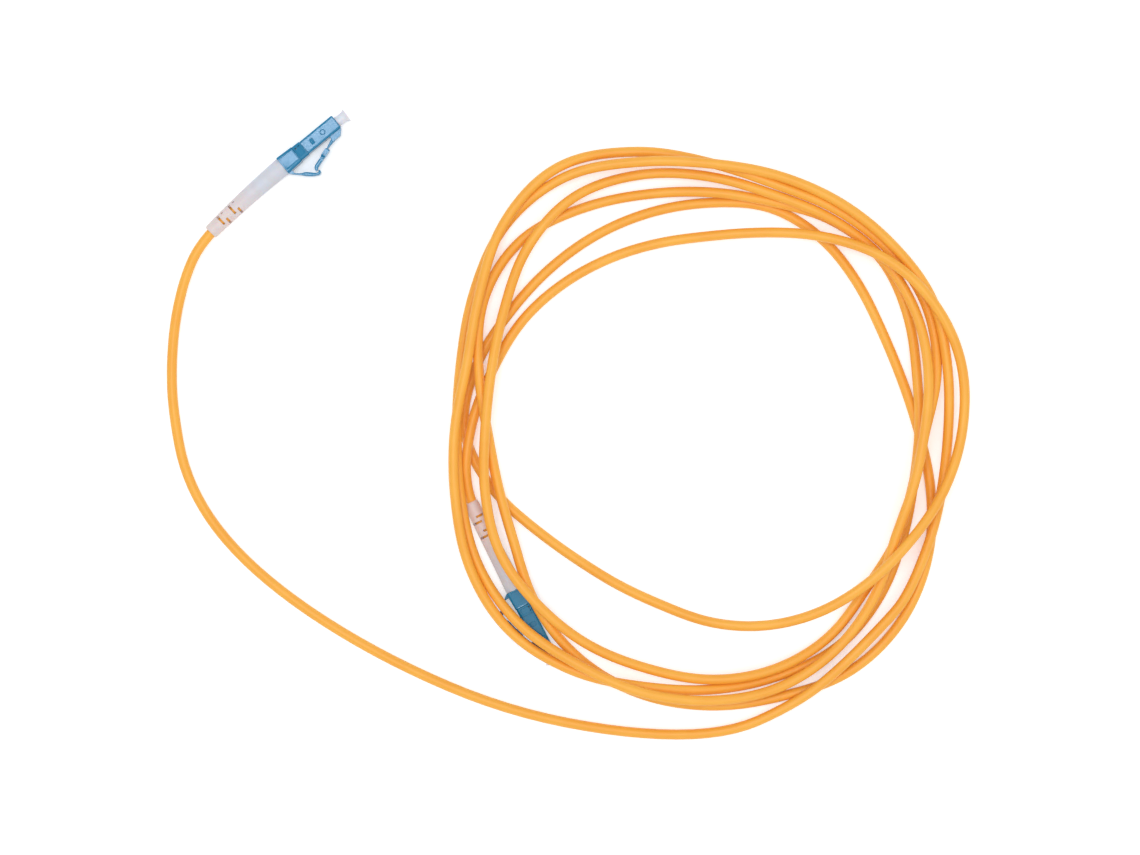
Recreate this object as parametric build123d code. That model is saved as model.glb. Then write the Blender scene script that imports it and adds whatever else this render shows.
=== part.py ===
from build123d import *
import math
import os

# A simplex fibre patch cord, in millimetres: two small-form latch plugs on one 3 mm cable.
# A plug is modelled lying on its side, in its own frame. Its x axis runs forward from the
# rear face of the rear shell to the ferrule tip, its latch is on the -y side and z = 0 is
# the ferrule's axis. PLUGS then turns and places each one on the floor, z = 0 of the part.

# Cable
CABLE_D = 3.0
BUFFER_D = 0.9
GLASS_D = 0.125
RUNNING_GAP = 0.05        # radial gap of pieces that slide or turn in one another
LOOSE_GAP = 0.1           # radial gap of pieces that are only put together

# Rear shell
SHELL_WIDTH = 5.8
SHELL_NOSE_WIDTH = 4.9
SHELL_THICK = 5.8
SHELL_LENGTH = 5.3
SHELL_EDGE = 0.35
SHELL_REAR_WALL = 1.2
SHELL_PANEL_DEPTH = 0.18
SHELL_PANEL_BORDER = 0.75
COLLAR_STEP = 0.15        # the shell's front part, round the housing's neck, starts this much lower
COLLAR_RIM = 0.45
COLLAR_WALL = 0.2
RELIEF_START = 1.6        # the shell's side is cut away under the trigger from here
RELIEF_END = 4.0
RELIEF_TOP = 6.2

# Front housing
HOUSING_SIZE = 4.5
HOUSING_TIP = 20.7        # how far the front face stands ahead of the shell's rear face
HOUSING_EDGE = 0.3
NECK_SIZE = 4.1
NECK_LENGTH = 2.9
STUB_SIZE = 3.7
SPRING_BORE_D = 3.1
SHOULDER_THICK = 1.0
SHOULDER_HOLE_D = 2.1
CAP_BORE_D = 3.5
CAP_BORE_DEPTH = 2.9
WINDOW_LENGTH = 1.6
WINDOW_WIDTH = 1.3
WINDOW_TO_TIP = 9.9
MARK_D = 1.7
MARK_LINE = 0.18
MARK_DEPTH = 0.08
MARK_TO_TIP = 5.2

# Latch lever: places are (x, distance from the axis), on the latch side
LATCH_HINGE = (16.6, 3.2)
LATCH_BARREL_D = 1.2
LATCH_WIDTH = 2.4
LATCH_CATCH_WIDTH = 3.8
LATCH_CATCH_LENGTH = 2.6
LATCH_CATCH = (4.15, 5.2)  # how far out the catch's front end reaches
LATCH_WINDOW = (1.2, 0.45)
LATCH_WINDOW_BACK = 1.5
LATCH_SLOPE = 17.5
LATCH_OUTER = [(15.4, 4.05), (13.95, 4.32), (13.75, 5.05), (13.4, 5.25), (8.0, 6.95), (7.4, 7.2), (7.2, 7.58)]
LATCH_INNER = [(6.62, 7.55), (6.6, 6.9), (6.9, 6.25), (7.5, 5.85), (13.3, 4.1), (15.9, 2.8)]
LATCH_THROW = 12.0        # degrees that the lever swings in when it is pressed
NOSE_LENGTH = 3.4
NOSE_RISE = 1.5

# Trigger lever, which presses the latch and keeps it from snagging
TRIGGER_HINGE = (1.0, 3.72)
TRIGGER_BARREL_D = 0.84
TRIGGER_WIDTH = 3.2
TRIGGER_INNER = [
    (1.32, 3.6), (3.2, 5.2), (3.7, 5.4), (4.7, 6.4), (5.6, 7.35), (6.3, 7.88), (7.0, 8.02), (7.35, 7.9), (7.5, 7.65),
]
TRIGGER_OUTER = [(7.95, 7.75), (7.95, 8.3), (7.5, 8.8), (6.7, 8.98), (5.3, 8.45), (4.1, 7.4), (2.8, 5.85), (0.9, 4.1)]
TRIGGER_THROW = 15.0
SEAT_RISE = 0.85          # how far the trigger's seat stands out of the shell's side

# Ferrule, its flange and its spring
FERRULE_D = 1.25
FERRULE_LENGTH = 6.8
FERRULE_PROUD = 1.8       # how far the ferrule stands out of the front housing
FERRULE_TIP_CHAMFER = 0.15
GLASS_BORE_D = 0.135
FLANGE_D = 2.9
FLANGE_THICK = 1.35
FLANGE_TAIL_D = 1.6
FLANGE_TAIL_LENGTH = 1.9
FLANGE_BORE_D = 1.1
FERRULE_TRAVEL = 0.8
SPRING_WIRE_D = 0.3
SPRING_D = 2.5
SPRING_TURNS = 5.0
SPRING_GAP = 0.03

# Crimp post, sleeve and yarn
POST_FRONT = 12.4
POST_FLANGE_D = 3.9
POST_TUBE_D = 2.2
POST_TUBE_LENGTH = 5.0
POST_BORE_D = 1.2
POST_CATCH_RISE = 0.4
YARN_D = 2.65
SLEEVE_D = 4.0
SLEEVE_FRONT_LENGTH = 5.0
SLEEVE_REAR_LENGTH = 3.2
SLEEVE_WALL_REAR = 0.42
JACKET_IN_SLEEVE = 3.1

# Boot
BOOT_LENGTH = 29.1
BOOT_FRONT_D = 5.7
BOOT_REAR_D = 4.4
BOOT_END_CHAMFER = 0.3
BOOT_SLOT_LENGTH = 0.7
BOOT_SLOT_WIDTH = 3.2
BOOT_SLOT_FIRST = 4.7     # from the boot's rear end to the first pair of slots
BOOT_SLOT_PITCH = 4.6
BOOT_SLOT_STEP = 1.7      # from one pair of slots to the pair that is turned further round
BOOT_SLOT_TURN = 62.0
BOOT_SLOT_ROWS = 2

# Dust cap
CAP_D = 3.2
CAP_LENGTH = 5.75
CAP_VISIBLE = 3.35
CAP_RIM_D = 4.1
CAP_RIM_LENGTH = 0.9
CAP_END_WALL = 1.0

# How the plugs lie: x, y and heading of each, and how far its boot is turned round
PLUGS = {
    "a": {"at": (-29.05, 65.5), "heading": 39.6, "boot_turn": -5.0},
    "b": {"at": (39.87, -60.09), "heading": -62.8, "boot_turn": -33.0},
}
AXIS_HEIGHT = SHELL_THICK / 2

# The cable's loose stretch, from plug a's boot to the coil: hand-picked corners
TAIL = [
    (-58.8, 30.4, 2.0),
    (-61.7, 13.0, 1.5),
    (-61.6, -7.0, 1.5),
    (-57.0, -26.5, 1.5),
    (-46.0, -44.6, 1.5),
    (-26.2, -63.6, 1.5),
    (4.0, -80.8, 1.5),
    (38.0, -95.6, 1.5),
    (74.0, -103.4, 1.5),
    (103.0, -103.4, 1.5),
    (122.0, -95.0, 1.5),
    (134.0, -85.6, 1.5),
]
TAIL_START = 6.0          # the first corner stands this far behind the boot
BEND_SHARE = 0.45         # share of the shorter run that a corner's arc takes

# The coil's outer shape: distances from its middle to the outermost and the innermost
# strand's centre lines, every 15 degrees anticlockwise from +x
COIL_AT = (97.6, -12.7)
COIL_OUTER = [
    75, 77, 76, 77, 78, 78, 79, 85, 90, 87, 82, 78,
    76, 78, 82, 84, 83, 82, 82, 82, 83, 81, 76, 72,
]
COIL_INNER = [
    62, 59, 59, 61, 65, 60, 58, 58, 59, 62, 65, 66,
    65, 65, 60, 55, 53, 54, 58, 60, 62, 64, 63, 62,
]
# The crescent between the innermost strand and the others: angle, inner and outer distance
COIL_GAP = [(-70, 64, 68), (-80, 62.5, 70), (-90, 60.5, 71), (-105, 57, 70.5), (-120, 56, 70.5),
            (-133, 58, 69.5), (-143, 61.5, 66)]
COIL_HEIGHT = 9.4
COIL_ROOF_GAP = 0.3       # between the plug that lies in the coil and the strands over it
CAP_TRAVEL = 10.0
LEAD_FREE = 1.6           # how much of the cable shows between the boot and the coil


def tube(start, end, outer_d, inner_d=0.0):
    """A round bar or tube along x, from start to end."""
    length = end - start
    body = Pos(start + length / 2, 0, 0) * Rot(0, 90, 0) * Cylinder(outer_d / 2, length)
    if inner_d:
        body -= Pos(start + length / 2, 0, 0) * Rot(0, 90, 0) * Cylinder(inner_d / 2, length + 1)
    return body


def block(start, end, width, thick):
    """A bar of width along y and thick along z, from start to end along x."""
    return Pos((start + end) / 2, 0, 0) * Box(end - start, width, thick)


def profile(points, width):
    """A flat piece on the latch side, cut from (x, distance from the axis) points."""
    outline = make_face(Polyline([(x, -out, 0) for x, out in points], close=True))
    return extrude(outline, amount=width / 2, both=True)


def pin(place, diameter, width):
    """A round barrel across the plug at a hinge place."""
    return Pos(place[0], -place[1], 0) * Cylinder(diameter / 2, width)


def rear_shell():
    half_rear, half_nose = SHELL_WIDTH / 2, SHELL_NOSE_WIDTH / 2
    front = SHELL_LENGTH + NECK_LENGTH
    outline = make_face(Polyline(
        [(0, -half_rear), (front, -half_nose), (front, half_nose), (0, half_rear)],
        close=True,
    ))
    body = extrude(outline, amount=SHELL_THICK / 2, both=True)
    body = chamfer(body.edges().filter_by(Plane.XY).sort_by(Axis.Y)[:2], SHELL_EDGE)
    body = chamfer(body.edges().filter_by(Plane.XY).sort_by(Axis.Y)[-2:], SHELL_EDGE)
    seat = [(0, half_rear - 0.6), (0, half_rear + SEAT_RISE - 0.25), (0.4, half_rear + SEAT_RISE),
            (1.2, half_rear + SEAT_RISE - 0.5), (2.2, half_rear - 0.6)]
    body += profile(seat, TRIGGER_WIDTH)
    body -= pin(TRIGGER_HINGE, TRIGGER_BARREL_D + 2 * RUNNING_GAP, TRIGGER_WIDTH + 1)
    side = half_rear + RUNNING_GAP
    relief = [TRIGGER_HINGE, (RELIEF_END, RELIEF_TOP), (RELIEF_END, side), (RELIEF_START, side)]
    body -= profile(relief, TRIGGER_WIDTH + 1)
    half_thick = SHELL_THICK / 2
    above = make_face(Polyline(
        [(SHELL_LENGTH, half_thick - COLLAR_STEP), (front, half_nose), (front, half_thick + 1),
         (SHELL_LENGTH, half_thick + 1)],
        close=True,
    ))
    above = extrude(Plane.XZ * above, amount=SHELL_WIDTH, both=True)
    body -= above + mirror(above, Plane.XY)
    stub_room = STUB_SIZE + 2 * RUNNING_GAP
    body -= block(SHELL_REAR_WALL, SHELL_LENGTH + 1, stub_room, stub_room)
    neck_room = NECK_SIZE + 2 * RUNNING_GAP
    body -= block(SHELL_LENGTH, front + 1, neck_room, neck_room)
    body -= tube(-1, SHELL_REAR_WALL + 1, POST_FLANGE_D + 2 * LOOSE_GAP)
    panel_length = SHELL_LENGTH - 2 * SHELL_PANEL_BORDER
    panel = Box(panel_length, SHELL_NOSE_WIDTH - 2 * SHELL_PANEL_BORDER, 2 * SHELL_PANEL_DEPTH)
    body -= Pos(SHELL_LENGTH / 2, 0, SHELL_THICK / 2) * panel
    recess = Box(NECK_LENGTH - 2 * COLLAR_RIM, SHELL_NOSE_WIDTH - 2 * SHELL_PANEL_BORDER, 1)
    recess = Pos(SHELL_LENGTH + NECK_LENGTH / 2, 0, neck_room / 2 + COLLAR_WALL + 0.5) * recess
    return body - recess


def plug_housing():
    neck_start = SHELL_LENGTH + RUNNING_GAP
    neck_end = neck_start + NECK_LENGTH
    body = block(neck_end, HOUSING_TIP, HOUSING_SIZE, HOUSING_SIZE)
    body = chamfer(body.edges().filter_by(Axis.X), HOUSING_EDGE)
    body += block(neck_start, neck_end + 0.5, NECK_SIZE, NECK_SIZE)
    body += block(SHELL_REAR_WALL + RUNNING_GAP, neck_start, STUB_SIZE, STUB_SIZE)
    half = HOUSING_SIZE / 2
    nose_back = LATCH_HINGE[0] + 0.35
    nose = [(HOUSING_TIP - 0.2, half - 0.3), (HOUSING_TIP - 0.2, half + 0.1),
            (HOUSING_TIP - 1.6, half + NOSE_RISE - 0.1), (HOUSING_TIP - NOSE_LENGTH, half + NOSE_RISE),
            (nose_back, half + NOSE_RISE), (nose_back, half - 0.3)]
    body += profile(nose, LATCH_WIDTH)
    body -= pin(LATCH_HINGE, LATCH_BARREL_D + 2 * RUNNING_GAP, LATCH_WIDTH + 1)
    shoulder_front = HOUSING_TIP - CAP_BORE_DEPTH
    body -= tube(0, shoulder_front - SHOULDER_THICK, SPRING_BORE_D)
    body -= tube(shoulder_front - SHOULDER_THICK - 1, shoulder_front + 1, SHOULDER_HOLE_D)
    body -= tube(shoulder_front, HOUSING_TIP + 1, CAP_BORE_D)
    window_start = HOUSING_TIP - WINDOW_TO_TIP
    body -= block(window_start, window_start + WINDOW_LENGTH, WINDOW_WIDTH, HOUSING_SIZE + 1)
    mark = Cylinder(MARK_D / 2, 2 * MARK_DEPTH) - Cylinder(MARK_D / 2 - MARK_LINE, 2 * MARK_DEPTH)
    body -= Pos(HOUSING_TIP - MARK_TO_TIP, 0, half) * mark
    return body


def latch_lever():
    barrel_top = (LATCH_HINGE[0], LATCH_HINGE[1] + LATCH_BARREL_D / 2)
    barrel_bottom = (LATCH_HINGE[0], LATCH_HINGE[1] - LATCH_BARREL_D / 2)
    body = profile([barrel_top] + LATCH_OUTER + LATCH_INNER + [barrel_bottom], LATCH_WIDTH)
    body += pin(LATCH_HINGE, LATCH_BARREL_D, LATCH_WIDTH)
    catch_x = LATCH_OUTER[3][0]
    near, far = LATCH_CATCH
    slope = math.tan(math.radians(LATCH_SLOPE))
    rise = LATCH_CATCH_LENGTH * slope
    catch = [(catch_x, near), (catch_x, far), (catch_x - LATCH_CATCH_LENGTH, far + rise),
             (catch_x - LATCH_CATCH_LENGTH, near + rise)]
    body += profile(catch, LATCH_CATCH_WIDTH)
    window_length, window_height = LATCH_WINDOW
    window = Rot(0, 0, LATCH_SLOPE) * Box(window_length, window_height, LATCH_CATCH_WIDTH + 1)
    window_out = (near + far) / 2 + LATCH_WINDOW_BACK * slope
    body -= Pos(catch_x - LATCH_WINDOW_BACK, -window_out, 0) * window
    return body


def trigger_lever():
    body = profile(TRIGGER_INNER + TRIGGER_OUTER, TRIGGER_WIDTH)
    return body + pin(TRIGGER_HINGE, TRIGGER_BARREL_D, TRIGGER_WIDTH)


def crimp_post():
    post_d = SPRING_BORE_D - 2 * RUNNING_GAP
    body = tube(SHELL_REAR_WALL, POST_FRONT, post_d)
    body += tube(SHELL_REAR_WALL - 1.0, SHELL_REAR_WALL, POST_FLANGE_D)
    body += tube(-POST_TUBE_LENGTH, SHELL_REAR_WALL, POST_TUBE_D)
    window_start = HOUSING_TIP - WINDOW_TO_TIP
    catch = block(window_start + RUNNING_GAP, window_start + WINDOW_LENGTH - RUNNING_GAP,
                  WINDOW_WIDTH - 2 * RUNNING_GAP, post_d + 2 * POST_CATCH_RISE)
    body += catch
    body -= tube(-POST_TUBE_LENGTH - 1, POST_FRONT + 1, POST_BORE_D)
    return body


def flange_front():
    return HOUSING_TIP - CAP_BORE_DEPTH - SHOULDER_THICK - SPRING_GAP


def ferrule_end():
    """Where the ferrule's rear end lies."""
    return HOUSING_TIP + FERRULE_PROUD - FERRULE_LENGTH


def ferrule_flange():
    front = flange_front()
    back = front - FLANGE_THICK
    body = tube(back, front, FLANGE_D)
    body += tube(back - FLANGE_TAIL_LENGTH, back, FLANGE_TAIL_D)
    body -= tube(back - FLANGE_TAIL_LENGTH - 1, ferrule_end(), FLANGE_BORE_D)
    body -= tube(ferrule_end(), front + 1, FERRULE_D)
    return body


def ferrule():
    tip = HOUSING_TIP + FERRULE_PROUD
    body = tube(ferrule_end(), tip, FERRULE_D)
    body = chamfer(body.edges().sort_by(Axis.X)[-1], FERRULE_TIP_CHAMFER)
    return body - tube(ferrule_end() - 1, tip + 1, GLASS_BORE_D)


def glass_fibre():
    return tube(ferrule_end(), HOUSING_TIP + FERRULE_PROUD, GLASS_D)


def fibre_buffer():
    """The coated fibre, from the jacket's cut end to just inside the flange's tail."""
    front = flange_front() - FLANGE_THICK - FERRULE_TRAVEL
    return tube(jacket_end(), front, BUFFER_D)


def ferrule_spring():
    start = POST_FRONT + SPRING_GAP + SPRING_WIRE_D / 2
    end = flange_front() - FLANGE_THICK - SPRING_GAP - SPRING_WIRE_D / 2
    radius = (SPRING_D - SPRING_WIRE_D) / 2
    path = Helix((end - start) / SPRING_TURNS, end - start, radius)
    wire = Plane(origin=path @ 0, z_dir=path % 0) * Circle(SPRING_WIRE_D / 2)
    coil = sweep(wire, path=path, is_frenet=True)
    return Pos(start, 0, 0) * Rot(0, 90, 0) * coil


def sleeve_step():
    """Where the crimp sleeve narrows onto the jacket."""
    return SHELL_REAR_WALL - 1.0 - LOOSE_GAP - SLEEVE_FRONT_LENGTH


def jacket_end():
    return sleeve_step() - LOOSE_GAP


def crimp_sleeve():
    step = sleeve_step()
    body = tube(step, step + SLEEVE_FRONT_LENGTH, SLEEVE_D, YARN_D + 2 * RUNNING_GAP)
    jacket_room = CABLE_D + 2 * RUNNING_GAP
    body += tube(step - SLEEVE_REAR_LENGTH, step, jacket_room + 2 * SLEEVE_WALL_REAR, jacket_room)
    return body


def aramid_yarn():
    start = max(sleeve_step(), -POST_TUBE_LENGTH) + LOOSE_GAP
    end = SHELL_REAR_WALL - 1.0 - LOOSE_GAP
    return tube(start, end, YARN_D, POST_TUBE_D + 2 * RUNNING_GAP)


def boot(turn):
    outline = make_face(Polyline(
        [(-BOOT_LENGTH, 0), (-BOOT_LENGTH, BOOT_REAR_D / 2 - BOOT_END_CHAMFER),
         (-BOOT_LENGTH + BOOT_END_CHAMFER, BOOT_REAR_D / 2), (0, BOOT_FRONT_D / 2), (0, 0)],
        close=True,
    ))
    body = revolve(outline, Axis.X)
    body -= tube(-BOOT_LENGTH - 1, 1, CABLE_D + 2 * LOOSE_GAP)
    sleeve_room = sleeve_step() - SLEEVE_REAR_LENGTH - 2 * LOOSE_GAP
    body -= tube(sleeve_room, 1, SLEEVE_D + 2 * LOOSE_GAP)
    reach = BOOT_FRONT_D
    floor = CABLE_D / 2 - 0.6
    for row in range(BOOT_SLOT_ROWS):
        for pair in range(2):
            x = -BOOT_LENGTH + BOOT_SLOT_FIRST + row * BOOT_SLOT_PITCH + pair * BOOT_SLOT_STEP
            for half_turn in (0, 180):
                slot = Pos(0, 0, floor + reach / 2) * Box(BOOT_SLOT_LENGTH, BOOT_SLOT_WIDTH, reach)
                body -= Pos(x, 0, 0) * Rot(pair * BOOT_SLOT_TURN + half_turn, 0, 0) * slot
    return Rot(turn, 0, 0) * body


def cap_tip():
    return HOUSING_TIP + CAP_VISIBLE


def dust_cap():
    tip = cap_tip()
    half, rim = CAP_D / 2, CAP_RIM_D / 2
    outline = make_face(Polyline(
        [(tip - CAP_LENGTH, 0), (tip - CAP_LENGTH, half), (tip - CAP_RIM_LENGTH, half),
         (tip - 0.15, rim), (tip, rim), (tip, 0)],
        close=True,
    ))
    body = revolve(outline, Axis.X)
    return body - tube(tip - CAP_LENGTH - 1, tip - CAP_END_WALL, FERRULE_D + 2 * RUNNING_GAP)


def placed(piece, plug):
    x, y = plug["at"]
    return Pos(x, y, AXIS_HEIGHT) * Rot(0, 0, plug["heading"]) * piece


def along(plug, x, out=0.0, height=0.0):
    """A point of a plug's own frame, in the part's frame."""
    heading = math.radians(plug["heading"])
    east = plug["at"][0] + x * math.cos(heading) + out * math.sin(heading)
    north = plug["at"][1] + x * math.sin(heading) - out * math.cos(heading)
    return (east, north, AXIS_HEIGHT + height)


def plug_pieces(plug):
    return {
        "rear_shell": rear_shell(),
        "plug_housing": plug_housing(),
        "latch_lever": latch_lever(),
        "trigger_lever": trigger_lever(),
        "crimp_post": crimp_post(),
        "ferrule_flange": ferrule_flange(),
        "ferrule": ferrule(),
        "glass_fibre": glass_fibre(),
        "fibre_buffer": fibre_buffer(),
        "ferrule_spring": ferrule_spring(),
        "crimp_sleeve": crimp_sleeve(),
        "aramid_yarn": aramid_yarn(),
        "boot": boot(plug["boot_turn"]),
        "dust_cap": dust_cap(),
    }


def tail_radii(points):
    radii = []
    for before, corner, after in zip(points, points[1:], points[2:]):
        come, go = Vector(*corner) - Vector(*before), Vector(*after) - Vector(*corner)
        turn = math.radians(come.get_angle(go))
        radii.append(BEND_SHARE * min(come.length, go.length) / math.tan(turn / 2))
    return radii


def cord_tail():
    """The cable from the crimp in plug a to the coil, of straight runs and tangent arcs."""
    plug = PLUGS["a"]
    points = [along(plug, jacket_end()), along(plug, -BOOT_LENGTH - TAIL_START)] + TAIL
    radii = tail_radii(points)
    path = FilletPolyline(points, radius=radii)
    section = Plane(origin=points[0], z_dir=Vector(*points[1]) - Vector(*points[0])) * Circle(CABLE_D / 2)
    body = sweep(section, path=path)
    share = body.volume / (math.pi * CABLE_D ** 2 / 4 * path.length)
    print("tail radii", [round(radius) for radius in radii])
    print("tail length", round(path.length, 1), "volume over section times length", round(share, 4))
    return body


def cord_lead():
    """The short stretch of cable from the crimp in plug b to the coil."""
    return placed(tube(-BOOT_LENGTH - LEAD_FREE, jacket_end(), CABLE_D), PLUGS["b"])


def ring_edge(distances, reach):
    step = 360 / len(distances)
    points = []
    for index, distance in enumerate(distances):
        angle = math.radians(step * index)
        points.append((COIL_AT[0] + (distance + reach) * math.cos(angle),
                       COIL_AT[1] + (distance + reach) * math.sin(angle)))
    return make_face(Spline(points, periodic=True))


def coil_gap():
    inner, outer = [], []
    for degrees, near, far in COIL_GAP:
        angle = math.radians(degrees)
        inner.append((COIL_AT[0] + near * math.cos(angle), COIL_AT[1] + near * math.sin(angle)))
        outer.append((COIL_AT[0] + far * math.cos(angle), COIL_AT[1] + far * math.sin(angle)))
    return make_face(Polyline(inner + outer[::-1], close=True))


def cord_coil(tail):
    """The coil as one closed ring, hollowed under the plug that it lies over and where the tail joins."""
    ring = ring_edge(COIL_OUTER, CABLE_D / 2) - ring_edge(COIL_INNER, -CABLE_D / 2) - coil_gap()
    body = extrude(ring, amount=COIL_HEIGHT) - tail
    roof = SHELL_THICK + COIL_ROOF_GAP
    shell_half = SHELL_WIDTH / 2 + COIL_ROOF_GAP
    levers_out = max(out for _, out in TRIGGER_OUTER) + COIL_ROOF_GAP
    cap_half = CAP_RIM_D / 2 + COIL_ROOF_GAP
    back = -BOOT_LENGTH - LEAD_FREE
    nose = HOUSING_TIP + COIL_ROOF_GAP
    front = cap_tip() + CAP_TRAVEL + COIL_ROOF_GAP
    nose_out = HOUSING_SIZE / 2 + NOSE_RISE + COIL_ROOF_GAP
    latch_back = min(x for x, _ in LATCH_INNER)
    room = [
        (back, -BOOT_REAR_D / 2 - COIL_ROOF_GAP), (0, -shell_half), (nose, -shell_half),
        (nose, -cap_half), (front, -cap_half), (front, cap_half), (nose, cap_half),
        (nose, nose_out), (LATCH_HINGE[0], nose_out + COIL_ROOF_GAP),
        (latch_back + LATCH_CATCH_LENGTH, levers_out),
        (SHELL_LENGTH / 2, levers_out), (-COIL_ROOF_GAP, shell_half + SEAT_RISE),
        (-COIL_ROOF_GAP, shell_half), (back, BOOT_REAR_D / 2 + COIL_ROOF_GAP),
    ]
    outline = make_face(Polyline([(x, -out) for x, out in room], close=True))
    pocket = extrude(outline, amount=roof + 1)
    x, y = PLUGS["b"]["at"]
    return body - Pos(x, y, -1) * Rot(0, 0, PLUGS["b"]["heading"]) * pocket


def build():
    nodes = {}
    for name, plug in PLUGS.items():
        for piece_name, piece in plug_pieces(plug).items():
            nodes[f"{piece_name}_{name}"] = placed(piece, plug)
    nodes["cord_tail"] = cord_tail()
    nodes["cord_lead"] = cord_lead()
    nodes["cord_coil"] = cord_coil(nodes["cord_tail"])
    return nodes


os.makedirs("parts", exist_ok=True)
for node, solid in build().items():
    export_step(solid, f"parts/{node}.step")
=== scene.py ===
import bpy
import bmesh
import math
import numpy as np
from mathutils import Matrix, Vector, kdtree


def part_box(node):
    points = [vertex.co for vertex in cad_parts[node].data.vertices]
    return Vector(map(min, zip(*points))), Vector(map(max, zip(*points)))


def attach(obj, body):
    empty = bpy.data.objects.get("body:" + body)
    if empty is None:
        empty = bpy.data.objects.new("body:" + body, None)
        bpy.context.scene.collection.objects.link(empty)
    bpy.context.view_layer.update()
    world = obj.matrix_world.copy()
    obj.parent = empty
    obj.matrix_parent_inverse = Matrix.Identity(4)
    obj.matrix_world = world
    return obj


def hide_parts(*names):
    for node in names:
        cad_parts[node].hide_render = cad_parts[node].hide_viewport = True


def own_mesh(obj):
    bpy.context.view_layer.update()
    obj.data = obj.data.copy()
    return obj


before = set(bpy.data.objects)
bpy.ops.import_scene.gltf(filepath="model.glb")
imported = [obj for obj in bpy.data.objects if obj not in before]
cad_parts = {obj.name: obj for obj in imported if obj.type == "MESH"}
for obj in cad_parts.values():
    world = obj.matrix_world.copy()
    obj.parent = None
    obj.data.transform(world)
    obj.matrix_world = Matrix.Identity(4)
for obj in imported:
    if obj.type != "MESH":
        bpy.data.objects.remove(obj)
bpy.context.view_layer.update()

bl_info = {
    "name": "Fibre patch cord",
    "version": (1, 0, 0),
    "blender": (4, 5, 0),
    "location": "3D View > Sidebar > Patch cord",
    "description": "A simplex fibre patch cord: two latching plugs on a loosely coiled 3 mm cable",
    "category": "Object",
}

MM = 0.001

# Each plug lies on its side. Its own x axis runs forward from the rear face of its rear shell,
# its latch is on the -y side and z = 0 is the ferrule's axis. Its place is in millimetres.
PLUGS = {
    "a": {"at": (-29.05, 65.5), "heading": 39.6, "boot_turn": -5.0, "boot_bend": 5.6, "cap_lean": 4.0},
    "b": {"at": (39.87, -60.09), "heading": -62.8, "boot_turn": -33.0, "boot_bend": 0.0, "cap_lean": 0.0},
}
AXIS_HEIGHT = 2.9
BOOT_LENGTH = 29.1
BOOT_FRONT_D = 5.7
BOOT_REAR_D = 4.4
JACKET_END = -5.0         # where the jacket ends inside each plug

# The cable's loose stretch, from plug a's boot to the coil, in millimetres. The first points
# follow the boot, which leans a little.
TAIL = [
    (-58.0, 33.4, 2.4),
    (-61.2, 20.5, 1.7),
    (-62.4, 6.5, 1.5),
    (-61.9, -7.0, 1.5),
    (-58.2, -27.0, 1.5),
    (-47.0, -45.5, 1.5),
    (-26.4, -63.9, 1.5),
    (3.4, -81.9, 1.5),
    (37.7, -96.4, 1.5),
    (74.0, -103.3, 1.5),
    (103.0, -103.2, 1.5),
    (121.6, -94.6, 3.2),
    (134.0, -85.6, 5.0),
]

# The coil: how far each turn lies from the coil's middle, in millimetres. A row is one turn,
# clockwise from plug b's boot, and its entries are 15 degrees apart.
COIL_AT = (97.6, -12.7)
COIL_START = -165.0
COIL_STEP = 15.0
COIL_TURNS = [
    [74.5, 71, 67, 64.5, 61.5, 59, 57.5, 57.5, 60.5, 66, 72, 75.5,
     76.5, 74.5, 71, 67, 64.5, 62.5, 60, 57, 54, 53.5, 55, 59.5],
    [67, 73, 72, 69, 67.5, 67, 67, 67.5, 68.5, 66, 62, 59, 59, 62, 68, 75, 80.5, 83, 82, 82, 81, 78, 73, 67],
    [65, 66, 71, 77.5, 79.5, 76, 72.5, 70.5, 70, 72, 72, 68,
     63.5, 62, 62.5, 66, 71, 75, 76, 77, 78.5, 82, 84, 82],
    [78, 75.5, 74.5, 79, 86.5, 90, 85.5, 79, 75, 75, 75, 74,
     69.5, 63.5, 62, 64, 66, 71, 73.5, 74, 73, 73, 72.5, 72],
    [69, 66.5, 67, 70.5, 76.5, 80, 78.5, 75, 72, 72, 72, 70,
     66.5, 63, 62, 63, 69, 75, 79, 80, 80, 79.5, 80.5, 79.5],
    [76.5, 75, 76.5, 81, 86, 86.5, 82, 78.5, 77.5, 77, 76.5, 76, 72.5, 70.5, 71, 73.5, 77],
]
# Which stretch lies over which where two strands cross: from this many degrees round the coil,
# the cable's place in the pile
PILE = [
    (0, 1.5), (60, 9), (345, 0), (700, 2), (800, 0.5), (1046, 5), (1160, 3), (1250, 2.5), (1390, 6),
    (1520, 1), (1612, 4), (1800, 3), (1880, 6), (1950, 5),
]
STRAND_STEP = 1.5         # spacing at which strands are laid on one another, in millimetres
POINT_EVERY = 4           # of those places, how many make one point of the cable's spline
LAY_GAP = 0.1             # how far strands that touch are kept apart
BEND_RADIUS = 110.0       # of the humps where a strand passes over another
STEEPEST = 0.13           # steepest rise of a strand
HUMP_STEPS = 60
SAME_STRAND = 40          # places nearer than this along the cable belong to one strand
FOOT_ROUNDS = 20
LAY_ROUNDS = 200
LAY_DONE = 0.005
SMOOTH_ANGLE = 38.0
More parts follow.
